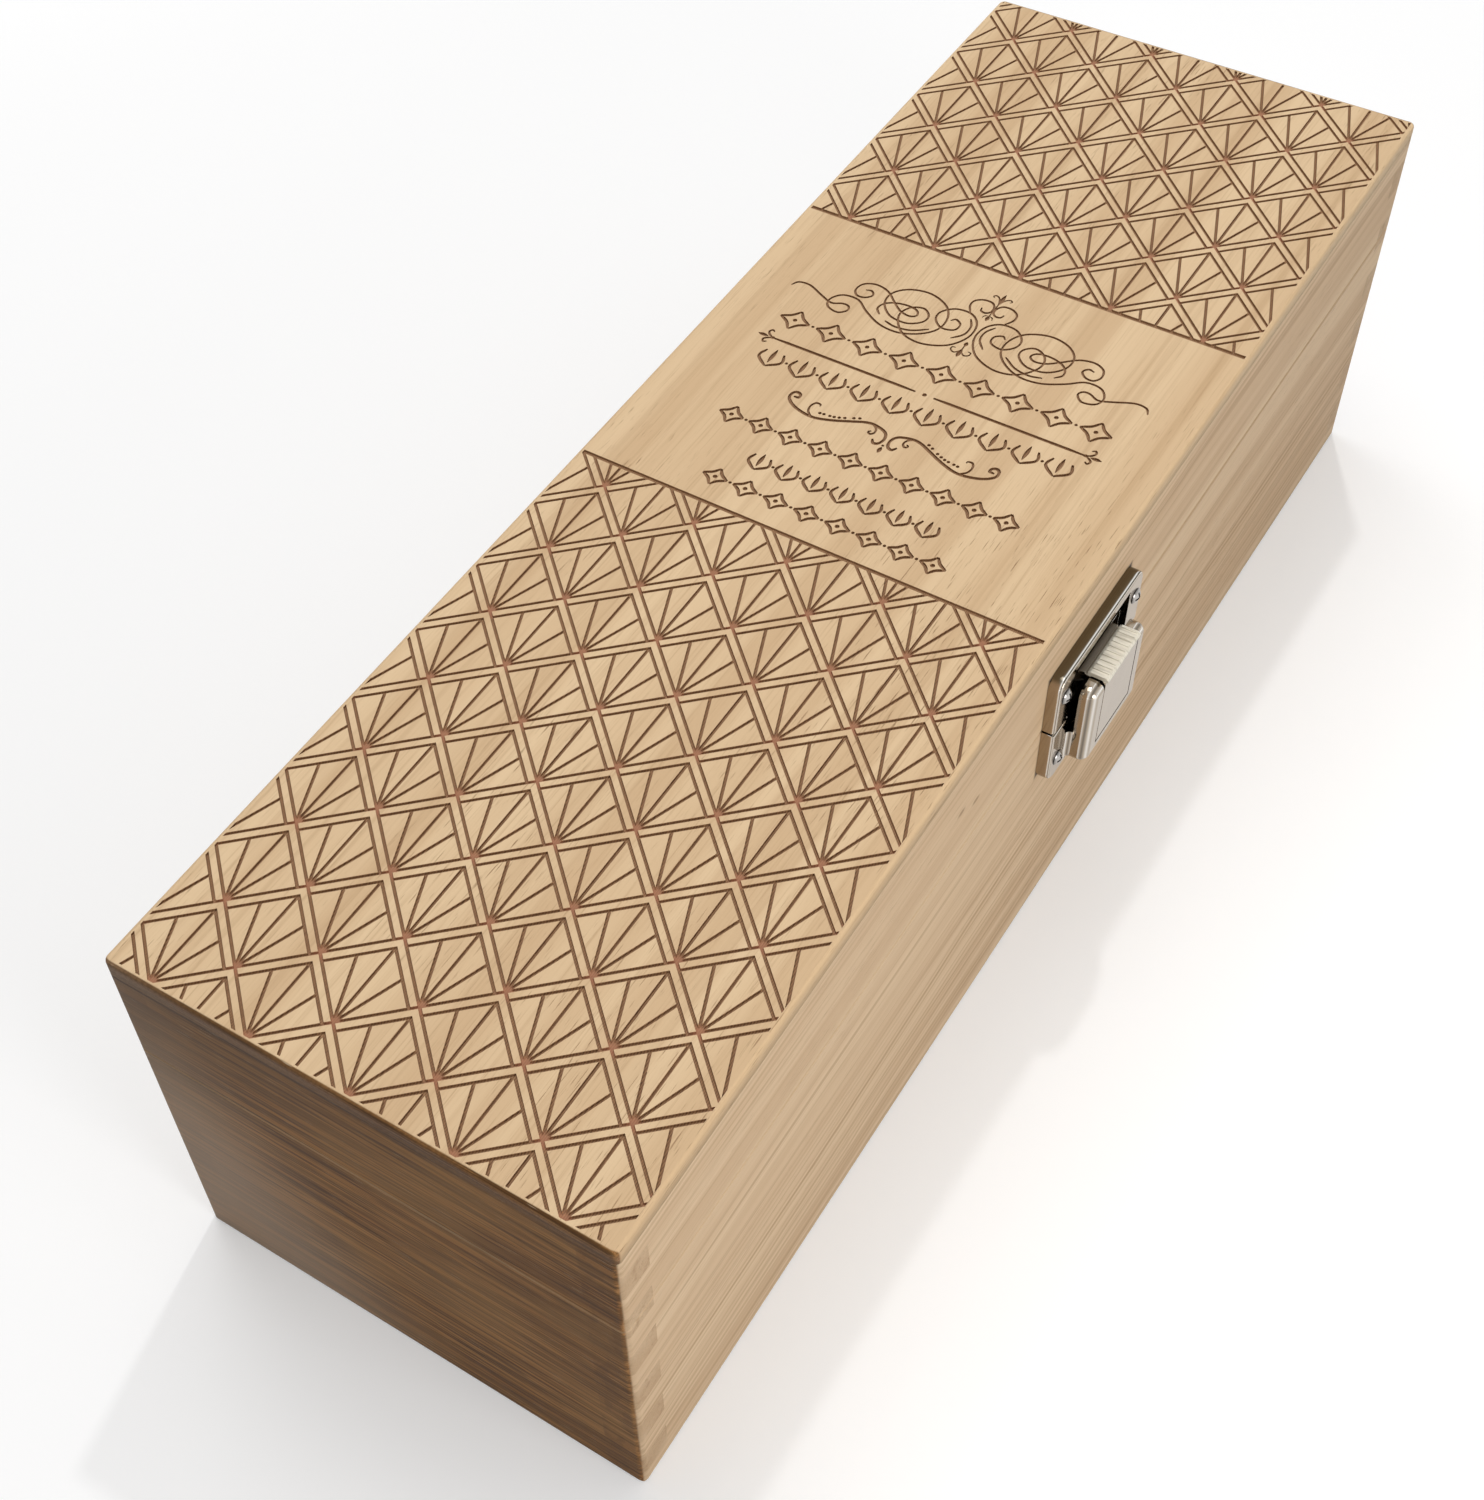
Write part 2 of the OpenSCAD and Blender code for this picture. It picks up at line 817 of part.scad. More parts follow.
base_front_board();
base_back_board();
base_left_end();
base_right_end();
bottom_panel();
lid_front_board();
lid_back_board();
lid_left_end();
lid_right_end();
lid_top_panel();
hinge_base_leaf(-1);  // hinge_base_leaf_left
hinge_lid_leaf(-1);  // hinge_lid_leaf_left
hinge_pin(-1);  // hinge_pin_left
hinge_base_leaf(1);  // hinge_base_leaf_right
hinge_lid_leaf(1);  // hinge_lid_leaf_right
hinge_pin(1);  // hinge_pin_right
hinge_base_screws();
hinge_lid_screws();
catch_base_plate();
catch_housing();
catch_tongue();
catch_pivot_pin();
catch_spring();
strike_plate();
catch_base_screws();
strike_plate_screws();
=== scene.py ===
import math
import bmesh
import bpy
from mathutils import Matrix, Vector


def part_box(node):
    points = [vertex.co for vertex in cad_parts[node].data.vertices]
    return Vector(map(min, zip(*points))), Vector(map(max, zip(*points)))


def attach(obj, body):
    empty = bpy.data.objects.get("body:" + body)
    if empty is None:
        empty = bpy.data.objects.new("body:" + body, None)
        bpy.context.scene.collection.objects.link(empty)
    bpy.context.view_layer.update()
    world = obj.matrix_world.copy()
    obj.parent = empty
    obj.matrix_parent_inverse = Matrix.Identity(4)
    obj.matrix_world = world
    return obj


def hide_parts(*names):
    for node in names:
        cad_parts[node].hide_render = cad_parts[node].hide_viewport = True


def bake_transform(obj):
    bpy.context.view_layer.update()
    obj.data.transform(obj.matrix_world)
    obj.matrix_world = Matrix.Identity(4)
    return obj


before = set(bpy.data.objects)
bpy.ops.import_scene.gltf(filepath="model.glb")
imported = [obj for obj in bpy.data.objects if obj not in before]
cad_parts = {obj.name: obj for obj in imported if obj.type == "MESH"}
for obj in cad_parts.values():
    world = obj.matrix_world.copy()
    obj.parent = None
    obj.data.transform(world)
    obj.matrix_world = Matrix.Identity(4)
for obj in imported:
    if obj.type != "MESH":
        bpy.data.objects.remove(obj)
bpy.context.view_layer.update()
mm = 0.001
merged = 0.002 * mm     # points closer than this are one
sameHeight = 1e-6
upward = 0.99     # a flat face's normal has at least this height
print("stage: frame loaded,", len(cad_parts), "nodes")


class Val:
    # a socket that takes part in sums: each operator adds one Math node
    def __init__(self, shader, socket):
        self.shader = shader
        self.socket = socket

    def __add__(self, other):
        return self.shader.maths("ADD", self, other)

    def __sub__(self, other):
        return self.shader.maths("SUBTRACT", self, other)

    def __rsub__(self, other):
        return self.shader.maths("SUBTRACT", other, self)

    def __mul__(self, other):
        return self.shader.maths("MULTIPLY", self, other)

    def __truediv__(self, other):
        return self.shader.maths("DIVIDE", self, other)

    __radd__ = __add__


class Shader:
    def __init__(self, name, world=None):
        owner = world or bpy.data.materials.new(name)
        owner.use_nodes = True
        self.owner = owner
        self.tree = owner.node_tree
        self.tree.nodes.clear()

    def node(self, kind, settings=None, inputs=None):
        made = self.tree.nodes.new(kind)
        for key, value in (settings or {}).items():
            if key == "stops":
                self.setStops(made.color_ramp, value)
            else:
                setattr(made, key, value)
        for key, value in (inputs or {}).items():
            self.feed(made.inputs[key], value)
        return made

    def feed(self, socket, value):
        if isinstance(value, Val):
            value = value.socket
        if isinstance(value, bpy.types.NodeSocket):
            self.tree.links.new(value, socket)
        else:
            socket.default_value = value

    def setStops(self, ramp, stops):
        while len(ramp.elements) < len(stops):
            ramp.elements.new(0.5)
        for element, (place, shade) in zip(ramp.elements, stops):
            element.position = place
            element.color = (*shade, 1)

    def maths(self, operation, *values, clamp=False):
        made = self.node(
            "ShaderNodeMath", {"operation": operation, "use_clamp": clamp},
            dict(enumerate(values)))
        return Val(self, made.outputs[0])

    def mix(self, factor, a, b, blend="MIX"):
        # colours are mixed on the colour sockets, 6 and 7
        made = self.node(
            "ShaderNodeMix", {"data_type": "RGBA", "blend_type": blend},
            {0: factor, 6: a, 7: b})
        return made.outputs[2]

    def ease(self, value, low, high):
        # 0 below low, 1 above high, smooth between
        made = self.node(
            "ShaderNodeMapRange", {"interpolation_type": "SMOOTHSTEP"},
            {"Value": value, "From Min": low, "From Max": high})
        return Val(self, made.outputs[0])

    def noise(self, vector, size, detail, rough=0.5):
        # size is that of the pattern along each axis, in millimetres
        stretched = self.node(
            "ShaderNodeMapping", {"vector_type": "POINT"},
            {"Vector": vector, "Scale": [1 / length for length in size]})
        made = self.node(
            "ShaderNodeTexNoise", {},
            {"Vector": stretched.outputs[0], "Scale": 1.0, "Detail": detail, "Roughness": rough})
        return Val(self, made.outputs["Fac"])

    def split(self, vector):
        made = self.node("ShaderNodeSeparateXYZ", {}, {0: vector})
        return [Val(self, made.outputs[i]) for i in range(3)]

    def finish(self, settings, height, depth, strength):
        # closes the material with a Principled shader and a bump from the height
        relief = self.node(
            "ShaderNodeBump", {}, {"Height": height, "Distance": depth, "Strength": strength})
        shader = self.node(
            "ShaderNodeBsdfPrincipled", {}, {**settings, "Normal": relief.outputs[0]})
        self.node("ShaderNodeOutputMaterial", {}, {0: shader.outputs[0]})
        return self.owner


def srgb(red, green, blue):
    # a colour as a screen shows it, 0 to 255, in the renderer's linear values
    def linear(c):
        c = c / 255
        return c / 12.92 if c <= 0.04045 else ((c + 0.055) / 1.055) ** 2.4
    return (linear(red), linear(green), linear(blue), 1.0)


photo = {
    "width": 1484, "height": 1500,
    "focalPx": 2166.96, "sensor": 36.0,
    "axisOffPx": (-103.74, 52.30),   # where the optical axis meets the picture, from its middle
    "place": (-0.296202, -0.157287, 0.417271),
    "forward": (0.495827, 0.369014, -0.786120),
    "right": (0.545095, -0.836938, -0.049062),
}


def makeCamera():
    lens = bpy.data.cameras.new("photoCamera")
    longSide = max(photo["width"], photo["height"])
    lens.sensor_width = photo["sensor"]
    lens.lens = photo["sensor"] * photo["focalPx"] / longSide
    lens.shift_x = -photo["axisOffPx"][0] / longSide
    lens.shift_y = photo["axisOffPx"][1] / longSide
    lens.clip_start = 0.01
    camera = bpy.data.objects.new("photoCamera", lens)
    bpy.context.scene.collection.objects.link(camera)
    forward = Vector(photo["forward"]).normalized()
    right = Vector(photo["right"]).normalized()
    up = right.cross(forward).normalized()
    right = forward.cross(up)
    turn = Matrix((right, up, -forward)).transposed()
    camera.matrix_world = Matrix.Translation(photo["place"]) @ turn.to_4x4()
    bpy.context.scene.camera = camera


makeCamera()
bpy.context.scene.view_settings.view_transform = "Standard"
print("stage: camera")


studio = {
    "floorSize": 12.0,
    "floorShow": 0.75, "floorLift": 0.275, "floorBounce": 0.25,
    "farLift": 0.75, "farFrom": 0.35, "farTo": 1.3,      # the floor turns white further away
    "zenith": 0.70, "horizon": 0.20, "riseOver": (-0.1, 0.9),
    "shadowSide": 0.45, "dimOver": (-0.7, 0.5),
    "aim": (0, 0, 0.05),
    "lamps": [
        # name, place, size, watts, all turned toward the aim
        ("overheadLamp", (0.1, 0.38, 1.5), 0.8, 2.8),
        ("middleLamp", (0.0, 0.1, 1.6), 0.9, 1.9),
        ("backLamp", (0.4, 0.9, 1.3), 0.8, 3.0),
        ("windowLamp", (0.63, 0.23, 1.45), 0.06, 4.2),
        ("frontLamp", (-0.22, -0.58, 0.24), 0.34, 1.95),
    ],
}


def seenDirectly(shader):
    # 1 for what the camera sees, also in metal or through glass, and 0 for light on the object
    rays = shader.node("ShaderNodeLightPath")
    camera, glossy, through = [
        Val(shader, rays.outputs[kind])
        for kind in ("Is Camera Ray", "Is Glossy Ray", "Is Transmission Ray")]
    return shader.maths("ADD", camera, glossy + through, clamp=True)


def makeFloor():
    mesh = bmesh.new()
    bmesh.ops.create_grid(mesh, x_segments=2, y_segments=2, size=studio["floorSize"] / 2)
    data = bpy.data.meshes.new("floor")
    mesh.to_mesh(data)
    mesh.free()
    floor = bpy.data.objects.new("floor", data)
    bpy.context.scene.collection.objects.link(floor)
    shader = Shader("floorPaper")
    show, bounce = studio["floorShow"], studio["floorBounce"]
    paper = shader.node("ShaderNodeBsdfDiffuse", {}, {"Color": (show, show, show, 1)})
    spot = shader.node("ShaderNodeTexCoord")
    x, y, _ = shader.split(spot.outputs["Object"])
    far = shader.ease(shader.maths("SQRT", x * x + y * y), studio["farFrom"], studio["farTo"])
    lift = shader.node(
        "ShaderNodeEmission", {}, {"Strength": studio["floorLift"] + far * studio["farLift"]})
    both = shader.node("ShaderNodeAddShader", {}, {0: paper.outputs[0], 1: lift.outputs[0]})
    plain = shader.node("ShaderNodeBsdfDiffuse", {}, {"Color": (bounce, bounce, bounce, 1)})
    chosen = shader.node(
        "ShaderNodeMixShader", {},
        {0: seenDirectly(shader), 1: plain.outputs[0], 2: both.outputs[0]})
    shader.node("ShaderNodeOutputMaterial", {}, {0: chosen.outputs[0]})
    data.materials.append(shader.owner)


def makeWorld():
    world = bpy.data.worlds.new("studioWorld")
    bpy.context.scene.world = world
    shader = Shader("world", world)
    way = shader.node("ShaderNodeTexCoord")
    sideways, _, height = shader.split(way.outputs["Generated"])
    rise = shader.ease(height, *studio["riseOver"])
    dim = studio["shadowSide"]
    level = (studio["horizon"] + rise * (studio["zenith"] - studio["horizon"])) * (
        dim + shader.ease(sideways, *studio["dimOver"]) * (1 - dim))
    sky = shader.node("ShaderNodeBackground", {}, {"Strength": level, "Color": (1, 1, 1, 1)})
    white = shader.node("ShaderNodeBackground", {}, {"Strength": 1.0, "Color": (1, 1, 1, 1)})
    chosen = shader.node(
        "ShaderNodeMixShader", {},
        {0: seenDirectly(shader), 1: sky.outputs[0], 2: white.outputs[0]})
    shader.node("ShaderNodeOutputWorld", {}, {0: chosen.outputs[0]})


def makeLamps():
    for name, spot, size, watts in studio["lamps"]:
        lamp = bpy.data.lights.new(name, "AREA")
        lamp.shape = "DISK"
        lamp.size = size
        lamp.energy = watts
        made = bpy.data.objects.new(name, lamp)
        made.location = spot
        way = Vector(studio["aim"]) - Vector(spot)
        made.rotation_euler = way.to_track_quat("-Z", "Y").to_euler()
        bpy.context.scene.collection.objects.link(made)


makeFloor()
makeWorld()
makeLamps()
print("stage: studio")


woodTones = {
    "light": srgb(224, 195, 156),
    "middle": srgb(208, 176, 137),
    "dark": srgb(168, 132, 94),
    "pore": srgb(128, 92, 58),
    "endGrain": srgb(138, 104, 72),
    "scratch": srgb(236, 214, 182),
    # the next tone is painted shade, for the wood behind the catch
    "recess": srgb(60, 48, 40),
    "burnt": srgb(166, 124, 84),
    "burntDeep": srgb(104, 70, 42),
    "ember": srgb(178, 116, 86),
}
endTones = {
    "streak": srgb(106, 74, 40), "hair": srgb(70, 47, 26), "paleHair": srgb(206, 164, 112),
    "patch": srgb(196, 156, 108), "lowBackReflection": srgb(222, 196, 172), "high": srgb(96, 72, 50),
    "seam": srgb(58, 40, 26), "finger": srgb(96, 68, 44), "stipple": srgb(84, 58, 34),
    "endGrainAndShadeWarmth": (0.97, 0.88, 0.74, 1),
}
boardLook = {
    "alongY": False, "offset": (0, 0, 0), "rings": 0.5, "fine": 0.35, "pores": 0.45,
    "sway": 5.0, "hairSize": (60, 0.55, 0.55),
    "tint": (0.985, 0.99, 1.04), "endGrainAndShadeTint": (0.74, 0.55, 0.35), "endFrom": 0.6, "stipple": 0.0,
    "lines": False,
}
panelLook = {
    **boardLook, "offset": (1300, 40, 11), "rings": 0.22, "fine": 0.42, "pores": 0.8,
    "sway": 2.0, "hairSize": (26, 0.4, 0.4), "tint": (1, 1, 1),
    "endGrainAndShadeTint": (0.60, 0.46, 0.32), "endFrom": 0.2, "stipple": 0.3,
}
grainLines = [
    # depth of tone, half width, then x and z of the points it runs through, in millimetres
    (0.34, 0.7, (-175, 91), (-90, 92.3), (-20, 91), (10, 90), (80, 92.5), (175, 94)),
    (0.62, 0.75, (-175, 29), (-120, 28), (-80, 28.8), (-30, 33.3), (45, 33), (100, 28),
     (175, 29.5)),
    (0.40, 0.6, (-175, 17.6), (-120, 19.5), (-20, 23.5), (50, 22.5), (70, 21), (175, 21.5)),
    (0.42, 0.7, (-175, 13), (-100, 12.7), (-50, 16), (0, 17), (60, 15), (175, 13)),
    (0.36, 0.8, (-175, 7), (-120, 6), (-50, 9), (50, 9), (100, 8), (175, 11)),
    (0.24, 0.6, (-175, 40), (-90, 38), (-30, 42), (50, 41), (100, 37), (175, 39)),
]
lineLook = {
    # in millimetres: how far the lines sway, and the fainter line on each side of one
    "sway": 1.6, "beside": 2.3, "besideEdge": (0.1, 0.8), "besideShare": 0.5,
}
knots = [(-55, 82.5), (-48.5, 79.5)]     # x and z of the small dark knots in the front
knotLook = {"flat": (0.3, 1.6), "edge": (0.3, 1.2), "share": 0.6}
endLook = {
    # where each tone begins and is full on the short faces, in millimetres
    "outside": (173, 174), "lowBackReflection": (-16, 34), "high": (70, 115), "fingers": (46.6, 47.4),
    "seams": (94.6, 69.3), "seamEdge": (0.1, 0.6), "seamSway": 1.2, "seamBack": (-30, 40),
}
pattern = {
    # size along the grain and across it in millimetres, detail, and roughness if not 0.5
    "wander": ((150, 26, 26), 1), "broad": ((420, 9, 9), 2), "ring": ((380, 2.3, 2.3), 3, 0.6),
    "dash": ((6.5, 0.3, 0.3), 2), "cloud": ((90, 45, 45), 1), "sway": ((30, 60, 60), 2),
    "speckle": ((1, 0.5, 0.5), 3, 0.7), "soot": ((1.2, 0.25, 1), 2, 0.6),
    # on the short faces: size along x, y and z
    "streak": ((1, 90, 3), 3, 0.75), "hair": ((1, 38, 0.8), 3, 0.7), "mark": ((1, 7, 0.22), 1),
    "patch": ((1, 40, 22), 1), "spots": ((1, 4, 6), 1), "dots": ((1, 0.7, 0.7), 1),
    # on metal
    "smear": ((6, 6, 6), 3, 0.6), "brush": ((5, 0.15, 0.15), 2, 0.6),
    "padStreak": ((0.9, 9, 1), 2, 0.6),
}
plates = {"x": (-17.8, 20.8), "z": (53.5, 84.7), "y": (50, 54)}     # where painted shade darkens the wood behind the catch and just round its plates
front = {"from": -175, "to": 175, "tall": 99}     # reach of the grain lines on the front


def millimetres(shader):
    # the place on the object in millimetres, and the normal there
    spot = shader.node("ShaderNodeTexCoord")
    scaled = shader.node(
        "ShaderNodeMapping", {"vector_type": "POINT"},
        {"Vector": spot.outputs["Object"], "Scale": (1000, 1000, 1000)})
    return scaled.outputs[0], spot.outputs["Normal"]


def alongGrain(shader, inMm, alongY, offset):
    # the same place with the grain along the first axis
    turned = shader.node(
        "ShaderNodeMapping", {"vector_type": "POINT"},
        {"Vector": inMm, "Rotation": (0, 0, math.pi / 2 if alongY else 0), "Location": offset})
    return turned.outputs[0]


def woodTone(shader, grain, look):
    along, across, up = shader.split(grain)
    wander = (shader.noise(grain, *pattern["wander"]) - 0.5) * look["sway"]
    swayed = shader.node(
        "ShaderNodeCombineXYZ", {}, {0: along, 1: across + wander, 2: up + wander}).outputs[0]
    broad = shader.noise(swayed, *pattern["broad"])
    ring = shader.noise(swayed, *pattern["ring"])
    fine = shader.noise(swayed, look["hairSize"], 3, 0.65)
    dash = shader.noise(swayed, *pattern["dash"])
    cloud = shader.noise(grain, *pattern["cloud"])
    tone = shader.mix(shader.ease(broad, 0.3, 0.7), woodTones["light"], woodTones["middle"])
    tone = shader.mix(shader.ease(ring, 0.5, 0.72) * look["rings"], tone, woodTones["dark"])
    tone = shader.mix(shader.ease(fine, 0.5, 0.8) * look["fine"], tone, woodTones["dark"])
    pores = shader.ease(dash, 0.62, 0.74) * shader.ease(cloud, 0.35, 0.65)
    tone = shader.mix(pores * look["pores"], tone, woodTones["pore"])
    return tone, fine, pores


def drawGrainLines(shader, tone, inMm, grain):
    # the long lines and knots of the front board, and painted shade on the wood behind the catch
    # and just round its plates
    x, y, z = shader.split(inMm)
    tall, length = front["tall"], front["to"] - front["from"]
    sway = (shader.noise(grain, *pattern["sway"]) - 0.5) * lineLook["sway"]
    for depth, half, *points in grainLines:
        stops = [((px - front["from"]) / length, (pz / tall,) * 3) for px, pz in points]
        run = shader.node(
            "ShaderNodeValToRGB", {"stops": stops}, {0: (x - front["from"]) / length})
        run.color_ramp.interpolation = "B_SPLINE"
        level = shader.node("ShaderNodeSeparateColor", {}, {0: run.outputs[0]}).outputs[0]
        away = shader.maths("ABSOLUTE", z + sway - Val(shader, level) * tall)
        line = (1 - shader.ease(away, 0.1 * half, 1.4 * half)) * depth
        tone = shader.mix(line, tone, woodTones["dark"])
        beside = shader.maths("ABSOLUTE", away - lineLook["beside"])
        companion = (1 - shader.ease(beside, *lineLook["besideEdge"])) * depth
        tone = shader.mix(companion * lineLook["besideShare"], tone, woodTones["dark"])
    flatX, flatZ = knotLook["flat"]
    for px, pz in knots:
        away = shader.maths("SQRT", (x - px) * (x - px) * flatX + (z - pz) * (z - pz) * flatZ)
        dark = (1 - shader.ease(away, *knotLook["edge"])) * knotLook["share"]
        tone = shader.mix(dark, tone, woodTones["pore"])
    # painted shade: near black inside the plates' outline, fading to nothing 0.9 mm outside it as
    # a painted contact shadow
    left, right = plates["x"]
    low, high = plates["z"]
    sideways = shader.maths("ABSOLUTE", x - (left + right) / 2) - (right - left) / 2
    upright = shader.maths("ABSOLUTE", z - (low + high) / 2) - (high - low) / 2
    outside = shader.maths("MAXIMUM", sideways, upright)
    shadeBehindCatch = (1 - shader.ease(outside, -0.6, 0.9)) * shader.ease(0 - y, *plates["y"])
    return shader.mix(shadeBehindCatch, tone, woodTones["recess"])


def makeWood(name, look):
    shader = Shader(name)
    inMm, facing = millimetres(shader)
    normal = [shader.maths("ABSOLUTE", n) for n in shader.split(facing)]
    grain = alongGrain(shader, inMm, look["alongY"], look["offset"])
    tone, fine, pores = woodTone(shader, grain, look)
    endOn = shader.ease(normal[1 if look["alongY"] else 0], 0.6, 0.85)
    speckle = shader.noise(grain, *pattern["speckle"])
    cut = shader.mix(shader.ease(speckle, 0.35, 0.7), woodTones["endGrain"], woodTones["dark"])
    tone = shader.mix(endOn * 0.3, tone, cut)
    tone = shader.mix(1.0, tone, (*look["tint"], 1), "MULTIPLY")
    if look["lines"]:
        tone = drawGrainLines(shader, tone, inMm, grain)
    tone = shadeEnds(shader, tone, inMm, normal[0], look)
    relief = fine * 0.5 - pores * 0.6 + speckle * endOn * 0.4
    return shader.finish(
        {"Base Color": tone, "Roughness": 0.5 + fine * 0.16, "Specular IOR Level": 0.14},
        relief, 0.12 * mm, 0.6)


def shadeEnds(shader, tone, inMm, facing, look):
    # the short faces outside are darker and browner, partly from their grain and partly as
    # painted shade, streaked across, greyer low at the back from a painted reflection, and
    # scratched
    x, y, z = shader.split(inMm)
    outer = shader.ease(shader.maths("ABSOLUTE", x), *endLook["outside"])
    onEnd = shader.ease(facing, look["endFrom"], look["endFrom"] + 0.25) * outer
    streak, hair, mark, patch, spots = [
        shader.noise(inMm, *pattern[kind])
        for kind in ("streak", "hair", "mark", "patch", "spots")]
    # painted shade together with the end grain's own colour: a dark brown multiply over the end
    # faces
    brown = shader.mix(1.0, tone, (*look["endGrainAndShadeTint"], 1), "MULTIPLY")
    for share, shade in (
            (shader.ease(streak, 0.44, 0.56) * 0.7, "streak"),
            (shader.ease(hair, 0.5, 0.58) * 0.75, "hair"),
            (shader.ease(0.92 - hair, 0.5, 0.58) * 0.4, "paleHair"),
            (shader.ease(patch, 0.42, 0.7) * 0.3, "patch")):
        brown = shader.mix(share, brown, endTones[shade])
    # painted shade: a warm multiply darkens the end faces further
    brown = shader.mix(1.0, brown, endTones["endGrainAndShadeWarmth"], "MULTIPLY")
    # painted reflection: paler and greyer low toward the back, where the end face mirrors the
    # white floor
    lowBackReflection = shader.ease(y - z * 0.5, *endLook["lowBackReflection"]) * 0.62
    brown = shader.mix(lowBackReflection, brown, endTones["lowBackReflection"])
    high = shader.ease(y * 0.5 + z, *endLook["high"]) * 0.5
    brown = shader.mix(high, brown, endTones["high"])
    for level in endLook["seams"]:
        away = shader.maths("ABSOLUTE", z - level + (patch - 0.5) * endLook["seamSway"])
        seam = 1 - shader.ease(away, *endLook["seamEdge"])
        back = shader.ease(y, *endLook["seamBack"]) * 0.45 + 0.35
        brown = shader.mix(seam * back, brown, endTones["seam"])
    fingers = shader.ease(spots, 0.5, 0.6) * shader.ease(0 - y, *endLook["fingers"]) * 0.3
    brown = shader.mix(fingers, brown, endTones["finger"])
    if look["stipple"]:
        dots = shader.noise(inMm, *pattern["dots"])
        stipple = shader.ease(dots, 0.45, 0.6) * look["stipple"]
        brown = shader.mix(stipple, brown, endTones["stipple"])
    brown = shader.mix(shader.ease(mark, 0.7, 0.78) * 0.5, brown, woodTones["scratch"])
    return shader.mix(onEnd, tone, brown)


def boardWood(name, **changes):
    return makeWood(name, {**boardLook, **changes})


def paint(name, material):
    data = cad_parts[name].data
    data.materials.clear()
    data.materials.append(material)


def paintBoards():
    for side, shift in (("front", (40, 12, 0)), ("back", (260, 70, 30))):
        wood = boardWood(side + "BoardWood", offset=shift, lines=side == "front")
        paint(f"base_{side}_board", wood)
        paint(f"lid_{side}_board", wood)
    for side, shift in (("left", (500, 20, 7)), ("right", (700, 130, 60))):
        wood = boardWood(side + "EndWood", alongY=True, offset=shift)
        paint(f"base_{side}_end", wood)
        paint(f"lid_{side}_end", wood)
    paint("bottom_panel", boardWood("bottomWood", offset=(900, 210, 0), rings=0.35))


paintBoards()
print("stage: boards")


lattice = {
    "pitchX": 20.894, "pitchY": 22.241,       # one diamond, corner to corner
    "startX": -154.589, "startY": 0.187,     # middle of one crossing
    "apart": 0.959,                          # each strip's lines, from its middle
    "halfLine": 0.34,
    "rayTurn": math.radians(20.6),
    "nearEnd": -174.0, "nearBorder": (-21.8, -20.8),
    "farBorder": (75.2, 76.3), "farEnd": 174.0,
    "side": 54.5,
    "wall": 0.1, "depth": 0.45,
    "scan": 0.42,                            # spacing of the scorch lines across the grain
    "emberFrom": 2.6, "emberTo": 0.5,        # distance from a fan's pivot where the red fades
}
slope = lattice["pitchY"] / lattice["pitchX"]
stride = lattice["pitchX"] * slope / math.hypot(1, slope)      # between strips, square to them
fallNormal = Vector((slope, -1, 0)).normalized()               # square to the rising strips
riseNormal = Vector((slope, 1, 0)).normalized()                # square to the falling strips


def makeBurnt():
    # scorched in lines along X, redder where a fan's rays meet
    shader = Shader("burntGroove")
    inMm, _ = millimetres(shader)
    x, y, _ = shader.split(inMm)
    scan = shader.maths("SINE", y * (2 * math.pi / lattice["scan"]))
    soot = shader.noise(inMm, *pattern["soot"])
    pale = shader.maths("ADD", scan * 0.3, soot, clamp=True)
    tone = shader.mix(pale, woodTones["burntDeep"], woodTones["burnt"])
    away = []
    for normal in (fallNormal, riseNormal):
        across = (x - lattice["startX"]) * normal.x + (y - lattice["startY"]) * normal.y
        gap = shader.maths("WRAP", across - lattice["apart"], stride / 2, -stride / 2)
        away.append(gap * gap)
    pivot = 1 - shader.ease(
        shader.maths("SQRT", away[0] + away[1]), lattice["emberTo"], lattice["emberFrom"])
    inBand = shader.ease(x, lattice["nearBorder"][0] - 0.5, lattice["nearBorder"][0]) * (
        1 - shader.ease(x, lattice["farBorder"][1], lattice["farBorder"][1] + 0.5))
    tone = shader.mix(pivot * (1 - inBand) * 0.55, tone, woodTones["ember"])
    return shader.finish({"Base Color": tone, "Roughness": 0.75}, soot, 0.08 * mm, 0.5)


def fromCrossing(point):
    return Vector((point.x / mm - lattice["startX"], point.y / mm - lattice["startY"], 0))


def sliceFlat(mesh, geom, point, normal):
    cut = bmesh.ops.bisect_plane(
        mesh, geom=geom, dist=merged, plane_co=point, plane_no=normal)
    return cut["geom"]


def around(faces):
    geom = set(faces)
    for face in faces:
        geom.update(face.edges)
        geom.update(face.verts)
    return list(geom)


def cutStrips(mesh, geom, low, high):
    # low and high are opposite corners of the region, in millimetres from the crossing
    for normal in (fallNormal, riseNormal):
        reach = [
            normal.dot(Vector((x, y, 0))) for x in (low[0], high[0]) for y in (low[1], high[1])]
        for i in range(math.floor(min(reach) / stride), math.ceil(max(reach) / stride) + 1):
            for line in (-lattice["apart"], lattice["apart"]):
                for edge in (-lattice["halfLine"], lattice["halfLine"]):
                    away = i * stride + line + edge
                    if min(reach) < away < max(reach):
                        point = crossingPoint() + normal * away * mm
                        geom = sliceFlat(mesh, geom, point, normal)
    return geom


def crossingPoint():
    return Vector((lattice["startX"] * mm, lattice["startY"] * mm, 0))


def cutRows(mesh, geom, low, high):
    row = lattice["pitchY"] / 2
    for i in range(math.ceil(low[1] / row), math.floor(high[1] / row) + 1):
        for edge in (-lattice["halfLine"], lattice["halfLine"]):
            point = crossingPoint() + Vector((0, (i * row + edge) * mm, 0))
            geom = sliceFlat(mesh, geom, point, Vector((0, 1, 0)))
    return geom


